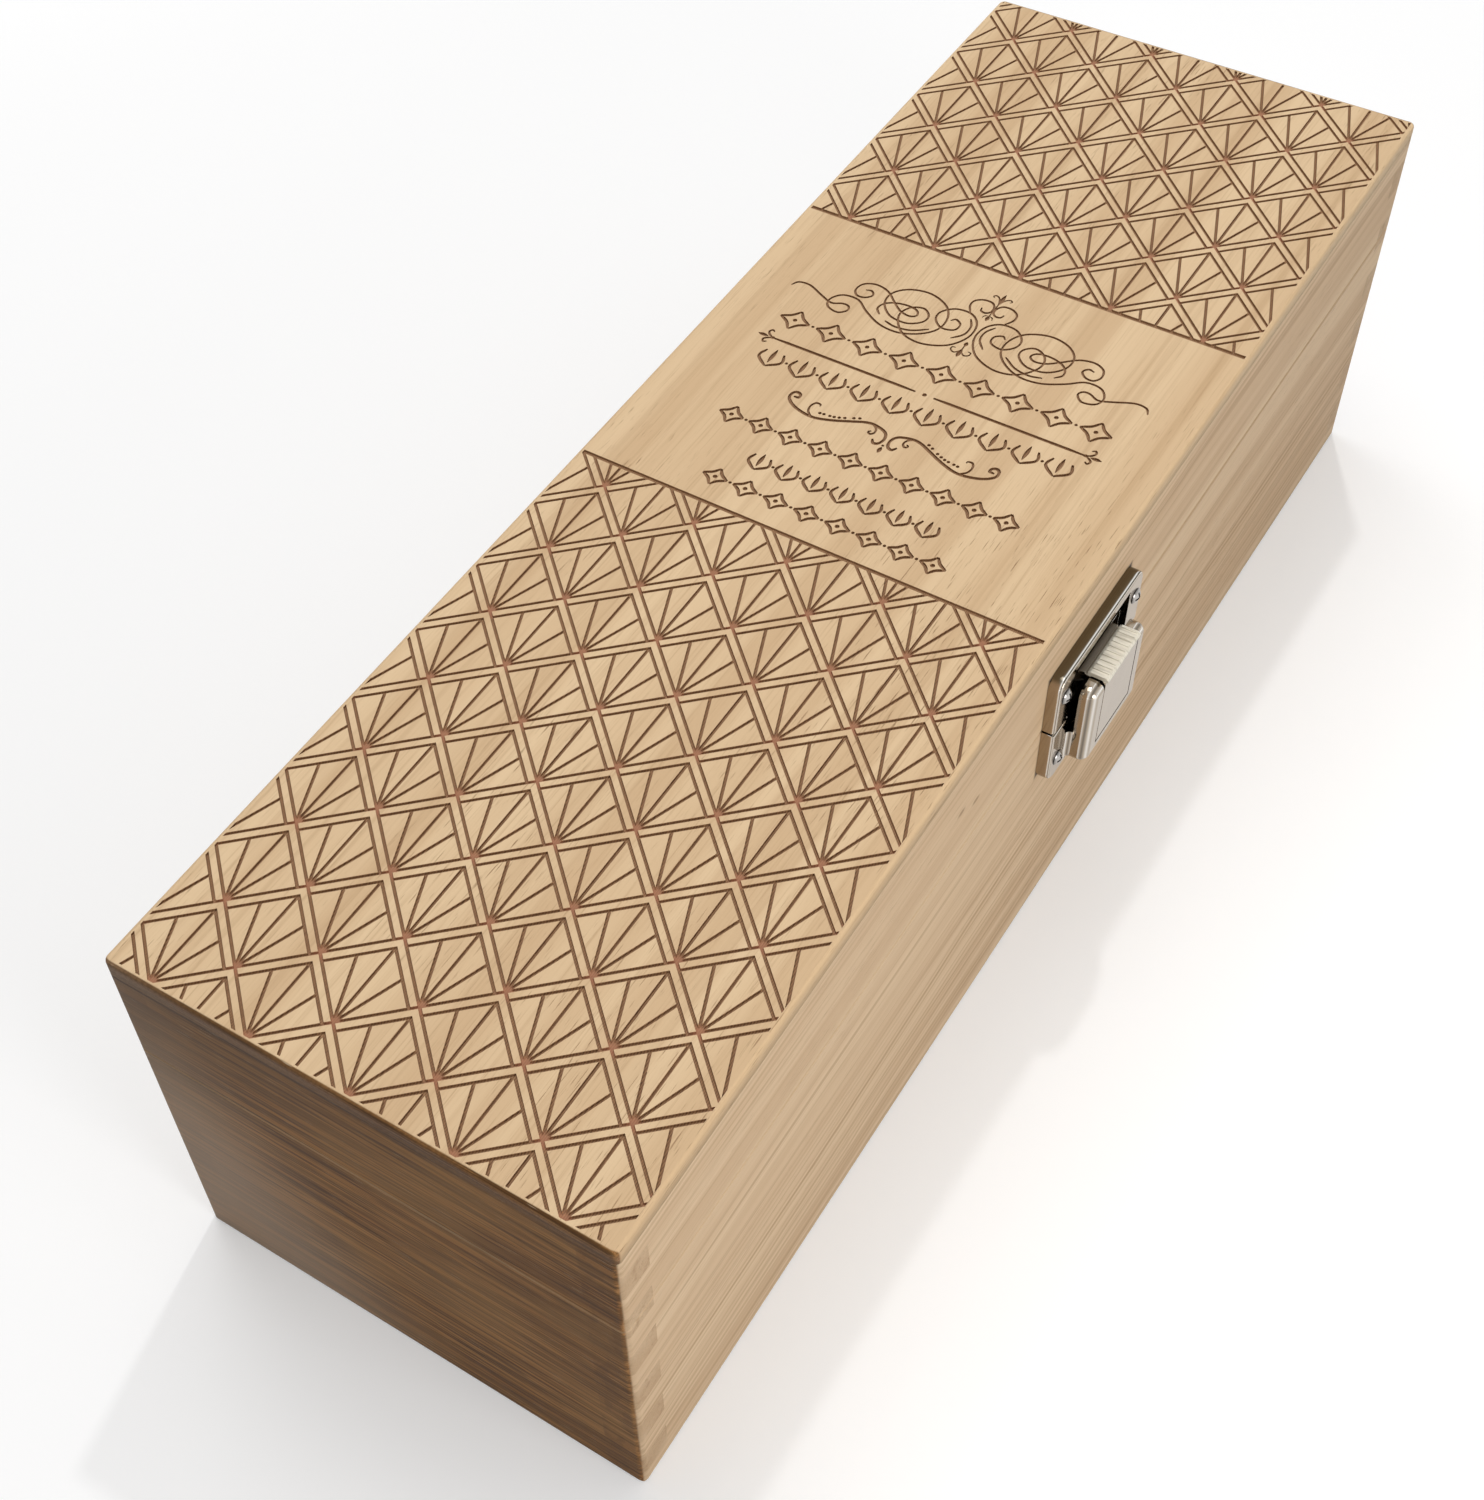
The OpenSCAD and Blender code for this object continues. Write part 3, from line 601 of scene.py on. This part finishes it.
def stripPlace(point):
    # strip coordinates of a point, the fan's pivot there, and the offset from that pivot
    p = fromCrossing(point)
    fall, rise = p.dot(fallNormal), p.dot(riseNormal)
    i, j = math.floor(fall / stride), math.floor(rise / stride)
    reach = math.hypot(1, slope)
    pivot = Vector((
        ((i + j) * stride + 2 * lattice["apart"]) * reach / (2 * slope),
        (j - i) * stride * reach / 2, 0))
    nearest = lambda v: (v + stride / 2) % stride - stride / 2
    return nearest(fall), nearest(rise), p - pivot


def inGroove(point):
    fall, rise, fan = stripPlace(point)
    apart, half = lattice["apart"], lattice["halfLine"]
    gap = apart - half
    if abs(fall - apart) < half or abs(rise - apart) < half:
        return True
    if abs(fall + apart) < half:
        return not -gap < rise < gap
    if abs(rise + apart) < half:
        return not -gap < fall < gap
    if abs(fall) < apart or abs(rise) < apart:
        return False
    turn = lattice["rayTurn"]
    side = abs(fan.y) * math.cos(turn) - fan.x * math.sin(turn)
    return abs(fan.y) < half or abs(side) < half


def cutFans(mesh, faces):
    turn = lattice["rayTurn"]
    for face in faces:
        middle = face.calc_center_median()
        fall, rise, fan = stripPlace(middle)
        apart = lattice["apart"]
        if abs(fall) < apart or abs(rise) < apart or abs(fan.y) < lattice["halfLine"]:
            continue
        up = 1 if fan.y > 0 else -1
        normal = Vector((-math.sin(turn), up * math.cos(turn), 0))
        pivot = middle - fan * mm
        geom = around([face])
        for edge in (-lattice["halfLine"], lattice["halfLine"]):
            geom = sliceFlat(mesh, geom, pivot + normal * edge * mm, normal)


def flatFaces(mesh, top):
    return [f for f in mesh.faces
            if f.normal.z > upward and abs(f.calc_center_median().z - top) < sameHeight]


def cutBorders(mesh, top):
    borders = (*lattice["nearBorder"], *lattice["farBorder"])
    for x in (lattice["nearEnd"], *borders, lattice["farEnd"]):
        sliceFlat(mesh, around(flatFaces(mesh, top)), Vector((x * mm, 0, 0)), Vector((1, 0, 0)))
    for y in (-lattice["side"], lattice["side"]):
        sliceFlat(mesh, around(flatFaces(mesh, top)), Vector((0, y * mm, 0)), Vector((0, 1, 0)))


def within(face, x0, x1):
    middle = face.calc_center_median()
    return x0 * mm < middle.x < x1 * mm and abs(middle.y) < lattice["side"] * mm


def engraveLattice(mesh, top):
    flat = lambda: flatFaces(mesh, top)
    grooves = []
    for x0, x1 in ((lattice["nearEnd"], lattice["nearBorder"][0]),
                   (lattice["farBorder"][1], lattice["farEnd"])):
        low = (x0 - lattice["startX"], -lattice["side"] - lattice["startY"])
        high = (x1 - lattice["startX"], lattice["side"] - lattice["startY"])
        geom = around([f for f in flat() if within(f, x0, x1)])
        geom = cutStrips(mesh, geom, low, high)
        cutRows(mesh, geom, low, high)
        cutFans(mesh, [f for f in flat() if within(f, x0, x1)])
        grooves += [f for f in flat() if within(f, x0, x1) and inGroove(f.calc_center_median())]
    grooves += [f for f in flat()
                if within(f, *lattice["nearBorder"]) or within(f, *lattice["farBorder"])]
    for face in grooves:
        face.material_index = 1
    engraved = {f for f in flat() if within(f, lattice["nearEnd"], lattice["nearBorder"][0])
                or within(f, lattice["farBorder"][1], lattice["farEnd"])}
    plain = [e for e in mesh.edges if len(e.link_faces) == 2
             and engraved.issuperset(e.link_faces)
             and not any(f.material_index for f in e.link_faces)]
    verts = list({v for e in plain for v in e.verts})
    bmesh.ops.dissolve_limit(
        mesh, angle_limit=math.radians(0.5), verts=verts, edges=plain, delimit={"MATERIAL"})
    grooves = [f for f in flat() if f.material_index == 1]
    walls = bmesh.ops.inset_region(
        mesh, faces=grooves, thickness=lattice["wall"] * mm, depth=-lattice["depth"] * mm,
        use_boundary=True, use_even_offset=True)
    for face in walls["faces"]:
        face.material_index = 1


pen = {
    "line": 0.55, "fine": 0.4, "bold": 0.75,      # widths of the strokes
    "leafTip": 0.08, "leafSwell": 0.42,           # half widths of a leaf
    "taper": 1.2, "tip": 0.6,                     # length of a stroke's thin end, and its share
    "thin": 0.88, "swell": 0.24,                  # strokes along the box are a little bolder
    "above": 0.1, "steps": 5, "beadSides": 14,
}
flourish = [
    # strokes on one side of the middle, mirrored on the other: width, then points in millimetres
    ("line", (48.6, 44.1), (50.3, 43.0), (50.5, 40.2), (48.6, 36), (47.5, 33), (48.5, 30.7),
     (48.4, 29.1), (47, 28.5), (45.3, 30.2), (46.1, 33.1), (48.6, 33.9), (51.2, 32), (51.4, 28.2),
     (48.8, 24.7), (46.3, 20), (45.9, 15), (48, 10.5), (51.3, 7.8), (55.6, 7.7), (59.3, 10),
     (61.3, 14.8), (60.4, 19.6), (57.4, 22.6), (53.4, 22.5), (50.1, 19.4), (49.6, 15), (51.7, 12),
     (54.2, 11.7), (56, 13.8), (54.9, 16.5), (52, 17.7), (48.6, 16.4), (45.8, 13.3), (45.2, 8.6),
     (47.5, 3.5), (52, 0.75), (56.6, 0.9), (59.5, 3.5), (59.5, 7.4), (57, 10), (54.2, 9.9),
     (52.1, 7.5), (52.8, 4.6), (55, 4.2), (56.2, 5.8), (55.3, 6.8)),
    ("line", (55.3, 28.4), (55.6, 27), (54.3, 26.1), (52.8, 27.4), (52.7, 29.4), (54.5, 30.5),
     (56.9, 29.8), (58.1, 27.2), (57.3, 23.8), (54.6, 20.6), (52.6, 18), (52.1, 15.4),
     (53.2, 14.1), (54.7, 15.1), (55.1, 17.8), (54.4, 20.7), (53, 22.5), (51, 23), (49.3, 21.6)),
    ("line", (48, 19.5), (47.3, 16.5), (48, 12.8), (50.3, 9.5)),
    ("line", (50, 4), (52.5, 2), (55.5, 1.8), (58, 3.1)),
    ("fine", (47.8, 1.5), (47.6, 2.3), (46.7, 2.2), (46.2, 1.3), (46.8, 0.5), (47.8, 0.1)),
    ("line", (62.7, 2.8), (61.6, 2.4), (61.4, 1.2), (62.3, 0.35), (64, 0.4), (65.3, 1.5),
     (65.3, 3.6), (64, 5.3), (62, 5.4), (59.8, 4.2)),
    ("fine", (67.1, 1.9), (67.6, 2.3), (68, 1.7), (67.4, 0.8), (66.1, 0.3)),
    ("fine", (59.7, 1.2), (60.5, 0.9), (60.8, 0.2)),
    ("bold", (16.2, 24.3), (16.3, 23.2), (17.3, 23.3), (17.7, 24.3), (16.9, 25.1), (15.2, 24.9),
     (13.5, 22.8), (12.5, 19.5), (12.5, 16.6), (13.7, 13), (15.3, 9.6), (16.6, 6.8), (16.9, 4.6),
     (16, 1.7), (14.2, 0.7), (12.3, 1.1), (11.8, 2.2), (12.9, 3)),
    ("line", (12.6, 18), (13.6, 19.2), (15.3, 19.6), (16.7, 19), (16.7, 17.9), (16.1, 17.8)),
    ("line", (16.8, 5), (16, 3.8), (14.7, 3.5), (13.9, 4.2), (14.4, 4.8), (14.9, 4.3)),
    ("bold", (30.6, 2.2), (30.6, 20), (30.6, 38.2)),
    ("line", (30.6, 38.3), (31.2, 39.4), (32.1, 40), (32.9, 39.6), (32.5, 38.9)),
    ("line", (30.6, 38.3), (30, 39.4), (29.3, 40), (28.5, 39.6), (28.9, 38.9)),
    ("leaf", (30.6, 39.4), (30.6, 42)),
]
middleStrokes = [
    ("leaf", (45.1, 0), (47.2, 0)), ("fine", (46.2, 0), (50.2, 0)), ("leaf", (49, 0), (50.6, 0)),
    ("leaf", (59, 0), (60.8, 0)), ("fine", (60, 0), (66, 0)), ("leaf", (65, 0), (69.2, 0)),
    ("leaf", (9.6, 0), (11.6, 0)),
]
dots = [(30.6, 0, 0.55), (30.6, 38.3, 0.5), (12.1, 0, 0.35)]     # x, y, radius
dotRun = {"through": [(14.3, 16.7), (14.9, 12.9), (17.1, 8.4)], "count": 8, "radius": 0.42}
rowShape = {
    "wide": 0.4, "bead": 0.4, "eye": 0.55,      # share of the pitch, and radii
    "waist": (0.38, 0.4),                       # how far a lozenge's sides are drawn in
    "leafFoot": 0.6, "bend": (0.2, 0.9), "lip": (0.7, 0.7),     # of a palmette
}
rows = [
    # plain ornament in rows: kind, then middle, half height, reach and pitch in millimetres
    ("lozenges", 38.2, 3.3, 37, 9.25),
    ("palmettes", 24.6, 3.0, 35, 7.8),
    ("lozenges", 4.5, 2.8, 33, 7.35),
    ("palmettes", -5.3, 2.6, 20, 6.7),
    ("lozenges", -13.8, 2.6, 26, 7.4),
]


def smoothed(points, steps):
    # a Catmull-Rom curve through the points
    if len(points) < 3:
        steps = steps * 2
    ends = [2 * points[0] - points[1], *points, 2 * points[-1] - points[-2]]
    made = []
    for a, b, c, d in zip(ends, ends[1:], ends[2:], ends[3:]):
        for i in range(steps):
            t = i / steps
            made.append(0.5 * (2 * b + (c - a) * t + (2 * a - 5 * b + 4 * c - d) * t ** 2
                               + (3 * b - a - 3 * c + d) * t ** 3))
    return [*made, points[-1].copy()]


def follower(vert, grown):
    # the vertex that an extrusion made from this one
    return next(e.other_vert(vert) for e in vert.link_edges if e.other_vert(vert) in grown)


def cutStroke(mesh, top, kind, points):
    # a flat ribbon along the stroke, grown by extruding its first edge
    path = smoothed([Vector(p) for p in points], pen["steps"])
    run = [0]
    for a, b in zip(path, path[1:]):
        run.append(run[-1] + (b - a).length)
    edge = None
    for i, point in enumerate(path):
        ahead = path[min(i + 1, len(path) - 1)] - path[max(i - 1, 0)]
        side = Vector((-ahead.y, ahead.x)).normalized()
        nearEnd = min(run[i], run[-1] - run[i])
        if kind == "leaf":
            half = pen["leafTip"] + pen["leafSwell"] * math.sin(math.pi * run[i] / run[-1])
        else:
            share = pen["tip"] + (1 - pen["tip"]) * nearEnd / pen["taper"]
            half = pen[kind] / 2 * min(1, share) * (pen["thin"] + pen["swell"] * abs(side.x))
        if edge is None:
            pair = [mesh.verts.new(), mesh.verts.new()]
            edge = mesh.edges.new(pair)
        else:
            grown = bmesh.ops.extrude_edge_only(mesh, edges=[edge])["geom"]
            edge = next(g for g in grown if isinstance(g, bmesh.types.BMEdge))
            pair = [follower(v, set(grown)) for v in pair]
        for vert, way in zip(pair, (1, -1)):
            spot = point + side * half * way
            vert.co = (spot.x * mm, spot.y * mm, top + pen["above"] * mm)


def cutDot(mesh, top, x, y, radius):
    tall = pen["above"] + lattice["depth"]
    bmesh.ops.create_cone(
        mesh, cap_ends=True, segments=pen["beadSides"], radius1=(radius - lattice["wall"]) * mm,
        radius2=radius * mm, depth=tall * mm,
        matrix=Matrix.Translation((x * mm, y * mm, top + (pen["above"] - tall / 2) * mm)))


def rowStrokes(kind, middle, half, reach, pitch):
    strokes = []
    beads = []
    count = round(2 * reach / pitch)
    wide = pitch * rowShape["wide"]
    for i in range(count + 1):
        y = (i - count / 2) * pitch
        if kind == "lozenges":
            inX, inY = rowShape["waist"]
            for up in (-1, 1):
                for side in (-1, 1):
                    strokes.append((
                        "bold", (middle + up * half, y),
                        (middle + up * half * inX, y + side * wide * inY),
                        (middle, y + side * wide)))
            beads.append((middle, y, rowShape["eye"]))
        else:
            foot = middle - half * rowShape["leafFoot"]
            bendX, bendY = rowShape["bend"]
            lipX, lipY = rowShape["lip"]
            strokes.append(("leaf", (foot, y), (middle + half, y)))
            for side in (-1, 1):
                strokes.append((
                    "bold", (middle - half, y), (middle - half * bendX, y + side * wide * bendY),
                    (middle + half * lipX, y + side * wide * lipY)))
        if i < count:
            beads.append((middle, y + pitch / 2, rowShape["bead"]))
    return strokes, beads


def cutBand(panel, top):
    # strokes and dots go into one cutter, taken out of the panel by a Boolean
    mesh = bmesh.new()
    for kind, *points in flourish:
        cutStroke(mesh, top, kind, points)
        cutStroke(mesh, top, kind, [(x, -y) for x, y in points])
    for kind, *points in middleStrokes:
        cutStroke(mesh, top, kind, points)
    marks = [(x, side * y, radius) for x, y, radius in dots for side in ((1, -1) if y else (1,))]
    beadPath = smoothed([Vector(p) for p in dotRun["through"]], 8)
    for i in range(dotRun["count"]):
        spot = beadPath[round(i * (len(beadPath) - 1) / (dotRun["count"] - 1))]
        marks += [(spot.x, spot.y, dotRun["radius"]), (spot.x, -spot.y, dotRun["radius"])]
    for row in rows:
        strokes, beads = rowStrokes(*row)
        for kind, *points in strokes:
            cutStroke(mesh, top, kind, points)
        marks += beads
    grown = bmesh.ops.extrude_face_region(mesh, geom=mesh.faces[:])["geom"]
    bmesh.ops.translate(
        mesh, vec=(0, 0, -(pen["above"] + lattice["depth"]) * mm),
        verts=[g for g in grown if isinstance(g, bmesh.types.BMVert)])
    for mark in marks:
        cutDot(mesh, top, *mark)
    bmesh.ops.recalc_face_normals(mesh, faces=mesh.faces)
    for face in mesh.faces:
        face.material_index = 1
    data = bpy.data.meshes.new("bandCutter")
    mesh.to_mesh(data)
    mesh.free()
    for material in panel.data.materials:
        data.materials.append(material)
    cutter = bpy.data.objects.new("bandCutter", data)
    bpy.context.scene.collection.objects.link(cutter)
    cut = panel.modifiers.new("band", "BOOLEAN")
    cut.object = cutter
    cut.operation = "DIFFERENCE"
    cut.solver = "EXACT"
    cut.use_self = True
    cut.material_mode = "INDEX"
    whole = panel.data
    panel.data = bpy.data.meshes.new_from_object(
        panel.evaluated_get(bpy.context.evaluated_depsgraph_get()))
    panel.modifiers.clear()
    bpy.data.objects.remove(cutter)
    bpy.data.meshes.remove(data)
    bpy.data.meshes.remove(whole)
    panel.data.name = "engravedPanel"


lidLook = {"corner": 1.5, "cornerSteps": 5, "round": 0.8, "roundSteps": 3}


def makeLidPanel():
    low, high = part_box("lid_top_panel")
    mesh = bmesh.new()
    bmesh.ops.create_cube(mesh, size=1)
    bmesh.ops.scale(mesh, vec=high - low, verts=mesh.verts)
    bmesh.ops.translate(mesh, vec=(low + high) / 2, verts=mesh.verts)
    upright = [e for e in mesh.edges if abs(e.verts[0].co.z - e.verts[1].co.z) > sameHeight]
    bmesh.ops.bevel(
        mesh, geom=upright, offset=lidLook["corner"] * mm, offset_type="OFFSET",
        segments=lidLook["cornerSteps"], profile=0.5, affect="EDGES", material=-1)
    rim = [e for e in mesh.edges if all(abs(v.co.z - high.z) < sameHeight for v in e.verts)]
    bmesh.ops.bevel(
        mesh, geom=rim, offset=lidLook["round"] * mm, offset_type="OFFSET",
        segments=lidLook["roundSteps"], profile=0.5, affect="EDGES", material=-1)
    mesh.normal_update()
    for face in mesh.faces:
        face.smooth = abs(face.normal.z) < upward
    cutBorders(mesh, high.z)
    data = bpy.data.meshes.new("engravedPanel")
    mesh.to_mesh(data)
    data.materials.append(makeWood("panelWood", panelLook))
    data.materials.append(makeBurnt())
    panel = bpy.data.objects.new("engravedPanel", data)
    bpy.context.scene.collection.objects.link(panel)
    cutBand(panel, high.z)
    mesh.clear()
    mesh.from_mesh(panel.data)
    engraveLattice(mesh, high.z)
    mesh.to_mesh(panel.data)
    mesh.free()
    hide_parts("lid_top_panel")
    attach(panel, "lid")
    return panel


panel = makeLidPanel()
print("stage: engraved panel,", len(panel.data.polygons), "faces")


metalLook = {
    "polished": srgb(171, 159, 143), "plate": srgb(170, 156, 138), "plateTop": srgb(112, 104, 88),
    "rimBright": srgb(240, 238, 234), "rimDarkReflection": srgb(44, 40, 38),
    # on the next line, the pad, pad streak and hook tones are painted sheen for the tongue
    "pad": srgb(226, 219, 202), "padStreak": srgb(198, 190, 172), "hook": srgb(200, 188, 168),
    "screw": srgb(178, 174, 170), "steel": srgb(176, 176, 178),
    "smear": 0.84,                              # how much darker the smears are
    "padHeight": (77.2, 77.5), "padFront": (58.9, 59.2),     # where the pad begins
    # painted reflections: dark lines and bright highlight lines painted on the rounded rims, by
    # how squarely the surface faces front
    "highlightRims": ((0.62, 0.82, 0.96), (0.04, 0.16, 0.3)), "darkReflectionRim": (0.24, 0.44, 0.66),
    "sharp": math.radians(32), "flat": math.radians(1),      # edges to round, and to dissolve
}


def hump(shader, value, low, peak, high):
    return shader.ease(value, low, peak) * (1 - shader.ease(value, peak, high))


def makeMetal(name, tone, rough, brushed=0.0, topReflectionTone=None, rimReflections=0.0, finishing=None):
    # the rim strength sets how strongly the rounded edges round a front face show a painted dark
    # reflection line and painted highlight lines
    shader = Shader(name)
    inMm, normal = millimetres(shader)
    smear = shader.noise(inMm, *pattern["smear"])
    hair = shader.noise(inMm, *pattern["brush"])
    darker = (*(c * metalLook["smear"] for c in tone[:3]), 1)
    look = {
        "Base Color": shader.mix(shader.ease(smear, 0.3, 0.8) * 0.35, tone, darker),
        "Metallic": 1.0, "Roughness": rough + smear * (rough * 0.8) + hair * brushed,
    }
    _, frontward, up = shader.split(normal)
    facing = 0 - frontward
    if topReflectionTone:
        # painted dark reflection: the upward faces are painted darker
        look["Base Color"] = shader.mix(shader.ease(up, 0.6, 0.9), look["Base Color"], topReflectionTone)
    if rimReflections:
        # painted reflections: highlight lines and a dark line painted into the base colour by the
        # normal
        inner, outer = [hump(shader, facing, *over) for over in metalLook["highlightRims"]]
        highlightLines = inner + outer
        dark = hump(shader, facing, *metalLook["darkReflectionRim"])
        highlighted = shader.mix(highlightLines * rimReflections, look["Base Color"], metalLook["rimBright"])
        look["Base Color"] = shader.mix(dark * rimReflections, highlighted, metalLook["rimDarkReflection"])
    if finishing:
        finishing(shader, look, shader.split(inMm), up, facing)
    return shader.finish(look, hair, 0.01 * mm, 0.15 + brushed)


def padAndHookSheen(shader, look, spot, up, facing):
    # painted sheen: the hook's up-facing faces are painted smooth mid grey and less metallic, and
    # the pad in front of it pale, less metallic and streaked, brushed outward
    x, y, z = spot
    topSheen = shader.ease(up, 0.5, 0.85)
    onPad = shader.ease(z, *metalLook["padHeight"]) * shader.ease(0 - y, *metalLook["padFront"])
    flat = shader.node("ShaderNodeCombineXYZ", {}, {0: x, 1: y, 2: 0}).outputs[0]
    streak = shader.ease(shader.noise(flat, *pattern["padStreak"]), 0.42, 0.7)
    pale = shader.mix(streak, metalLook["pad"], metalLook["padStreak"])
    hook = shader.mix(topSheen, look["Base Color"], metalLook["hook"])
    look["Base Color"] = shader.mix(onPad, hook, pale)
    look["Metallic"] = 1 - shader.maths("MAXIMUM", topSheen * 0.6, onPad * 0.85)
    look["Roughness"] = look["Roughness"] + onPad * 0.3


def screwDarkRims(shader, look, spot, up, facing):
    # painted dark reflection: the heads are painted darker toward their rims
    look["Base Color"] = shader.mix(
        shader.ease(facing, 0.45, 0.85), metalLook["rimDarkReflection"], look["Base Color"])


nickel = makeMetal("polishedNickel", metalLook["polished"], 0.07, rimReflections=0.6)
plateNickel = makeMetal(
    "plateNickel", metalLook["plate"], 0.07, topReflectionTone=metalLook["plateTop"], rimReflections=0.85)
tongueNickel = makeMetal(
    "tongueNickel", metalLook["polished"], 0.08, rimReflections=0.4, finishing=padAndHookSheen)
screwNickel = makeMetal("screwNickel", metalLook["screw"], 0.08, finishing=screwDarkRims)
steel = makeMetal("drawnSteel", metalLook["steel"], 0.24, 0.12)


def softenCopy(name, body, slot, material, edge, steps=2):
    # a copy of the node with every sharp edge rounded
    mesh = bmesh.new()
    mesh.from_mesh(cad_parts[name].data)
    bmesh.ops.remove_doubles(mesh, verts=mesh.verts, dist=merged)
    bmesh.ops.dissolve_limit(
        mesh, angle_limit=metalLook["flat"], verts=mesh.verts, edges=mesh.edges)
    sharp = [e for e in mesh.edges
             if len(e.link_faces) == 2 and e.calc_face_angle(0) > metalLook["sharp"]]
    bmesh.ops.bevel(
        mesh, geom=sharp, offset=edge * mm, offset_type="OFFSET", segments=steps, profile=0.5,
        affect="EDGES", material=-1, clamp_overlap=True)
    for face in mesh.faces:
        face.smooth = True
    words = name.split("_")
    title = words[0] + "".join(w.capitalize() for w in words[1:])
    data = bpy.data.meshes.new(title)
    mesh.to_mesh(data)
    mesh.free()
    data.materials.append(material)
    piece = bpy.data.objects.new(title, data)
    bpy.context.scene.collection.objects.link(piece)
    even = piece.modifiers.new("evenShading", "WEIGHTED_NORMAL")
    even.keep_sharp = False
    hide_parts(name)
    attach(piece, body)
    return piece


metalParts = [
    # node, body, slot, material, edge rounding in mm, steps
    ("strike_plate", "lid", "nickel_plate", plateNickel, 0.34, 4),
    ("catch_base_plate", "base", "nickel_plate", plateNickel, 0.34, 4),
    ("catch_housing", "base", "nickel_plate", nickel, 0.25, 4),
    ("catch_tongue", "latch", "nickel_plate", tongueNickel, 0.12),
    ("catch_base_screws", "base", "nickel_plate", screwNickel, 0.08),
    ("strike_plate_screws", "lid", "nickel_plate", screwNickel, 0.08),
    ("hinge_base_leaf_left", "base", "nickel_plate", nickel, 0.15),
    ("hinge_base_leaf_right", "base", "nickel_plate", nickel, 0.15),
    ("hinge_lid_leaf_left", "lid", "nickel_plate", nickel, 0.15),
    ("hinge_lid_leaf_right", "lid", "nickel_plate", nickel, 0.15),
    ("hinge_base_screws", "base", "nickel_plate", nickel, 0.06),
    ("hinge_lid_screws", "lid", "nickel_plate", nickel, 0.06),
    ("hinge_pin_left", "base", "bare_steel", steel, 0.15),
    ("hinge_pin_right", "base", "bare_steel", steel, 0.15),
    ("catch_pivot_pin", "base", "bare_steel", steel, 0.12),
]
for part in metalParts:
    softenCopy(*part)


def makeSpring():
    # a smooth-shaded copy of the spring: its lower leg leans on the flap's foot and its coil sits
    # on its pin
    mesh = bmesh.new()
    mesh.from_mesh(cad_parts["catch_spring"].data)
    bmesh.ops.remove_doubles(mesh, verts=mesh.verts, dist=merged)
    for face in mesh.faces:
        face.smooth = True
    data = bpy.data.meshes.new("catchSpring")
    mesh.to_mesh(data)
    mesh.free()
    data.materials.append(steel)
    spring = bpy.data.objects.new("catchSpring", data)
    bpy.context.scene.collection.objects.link(spring)
    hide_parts("catch_spring")
    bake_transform(spring)


makeSpring()
print("stage: metal,", len(metalParts) + 1, "pieces")

print("stage: done")
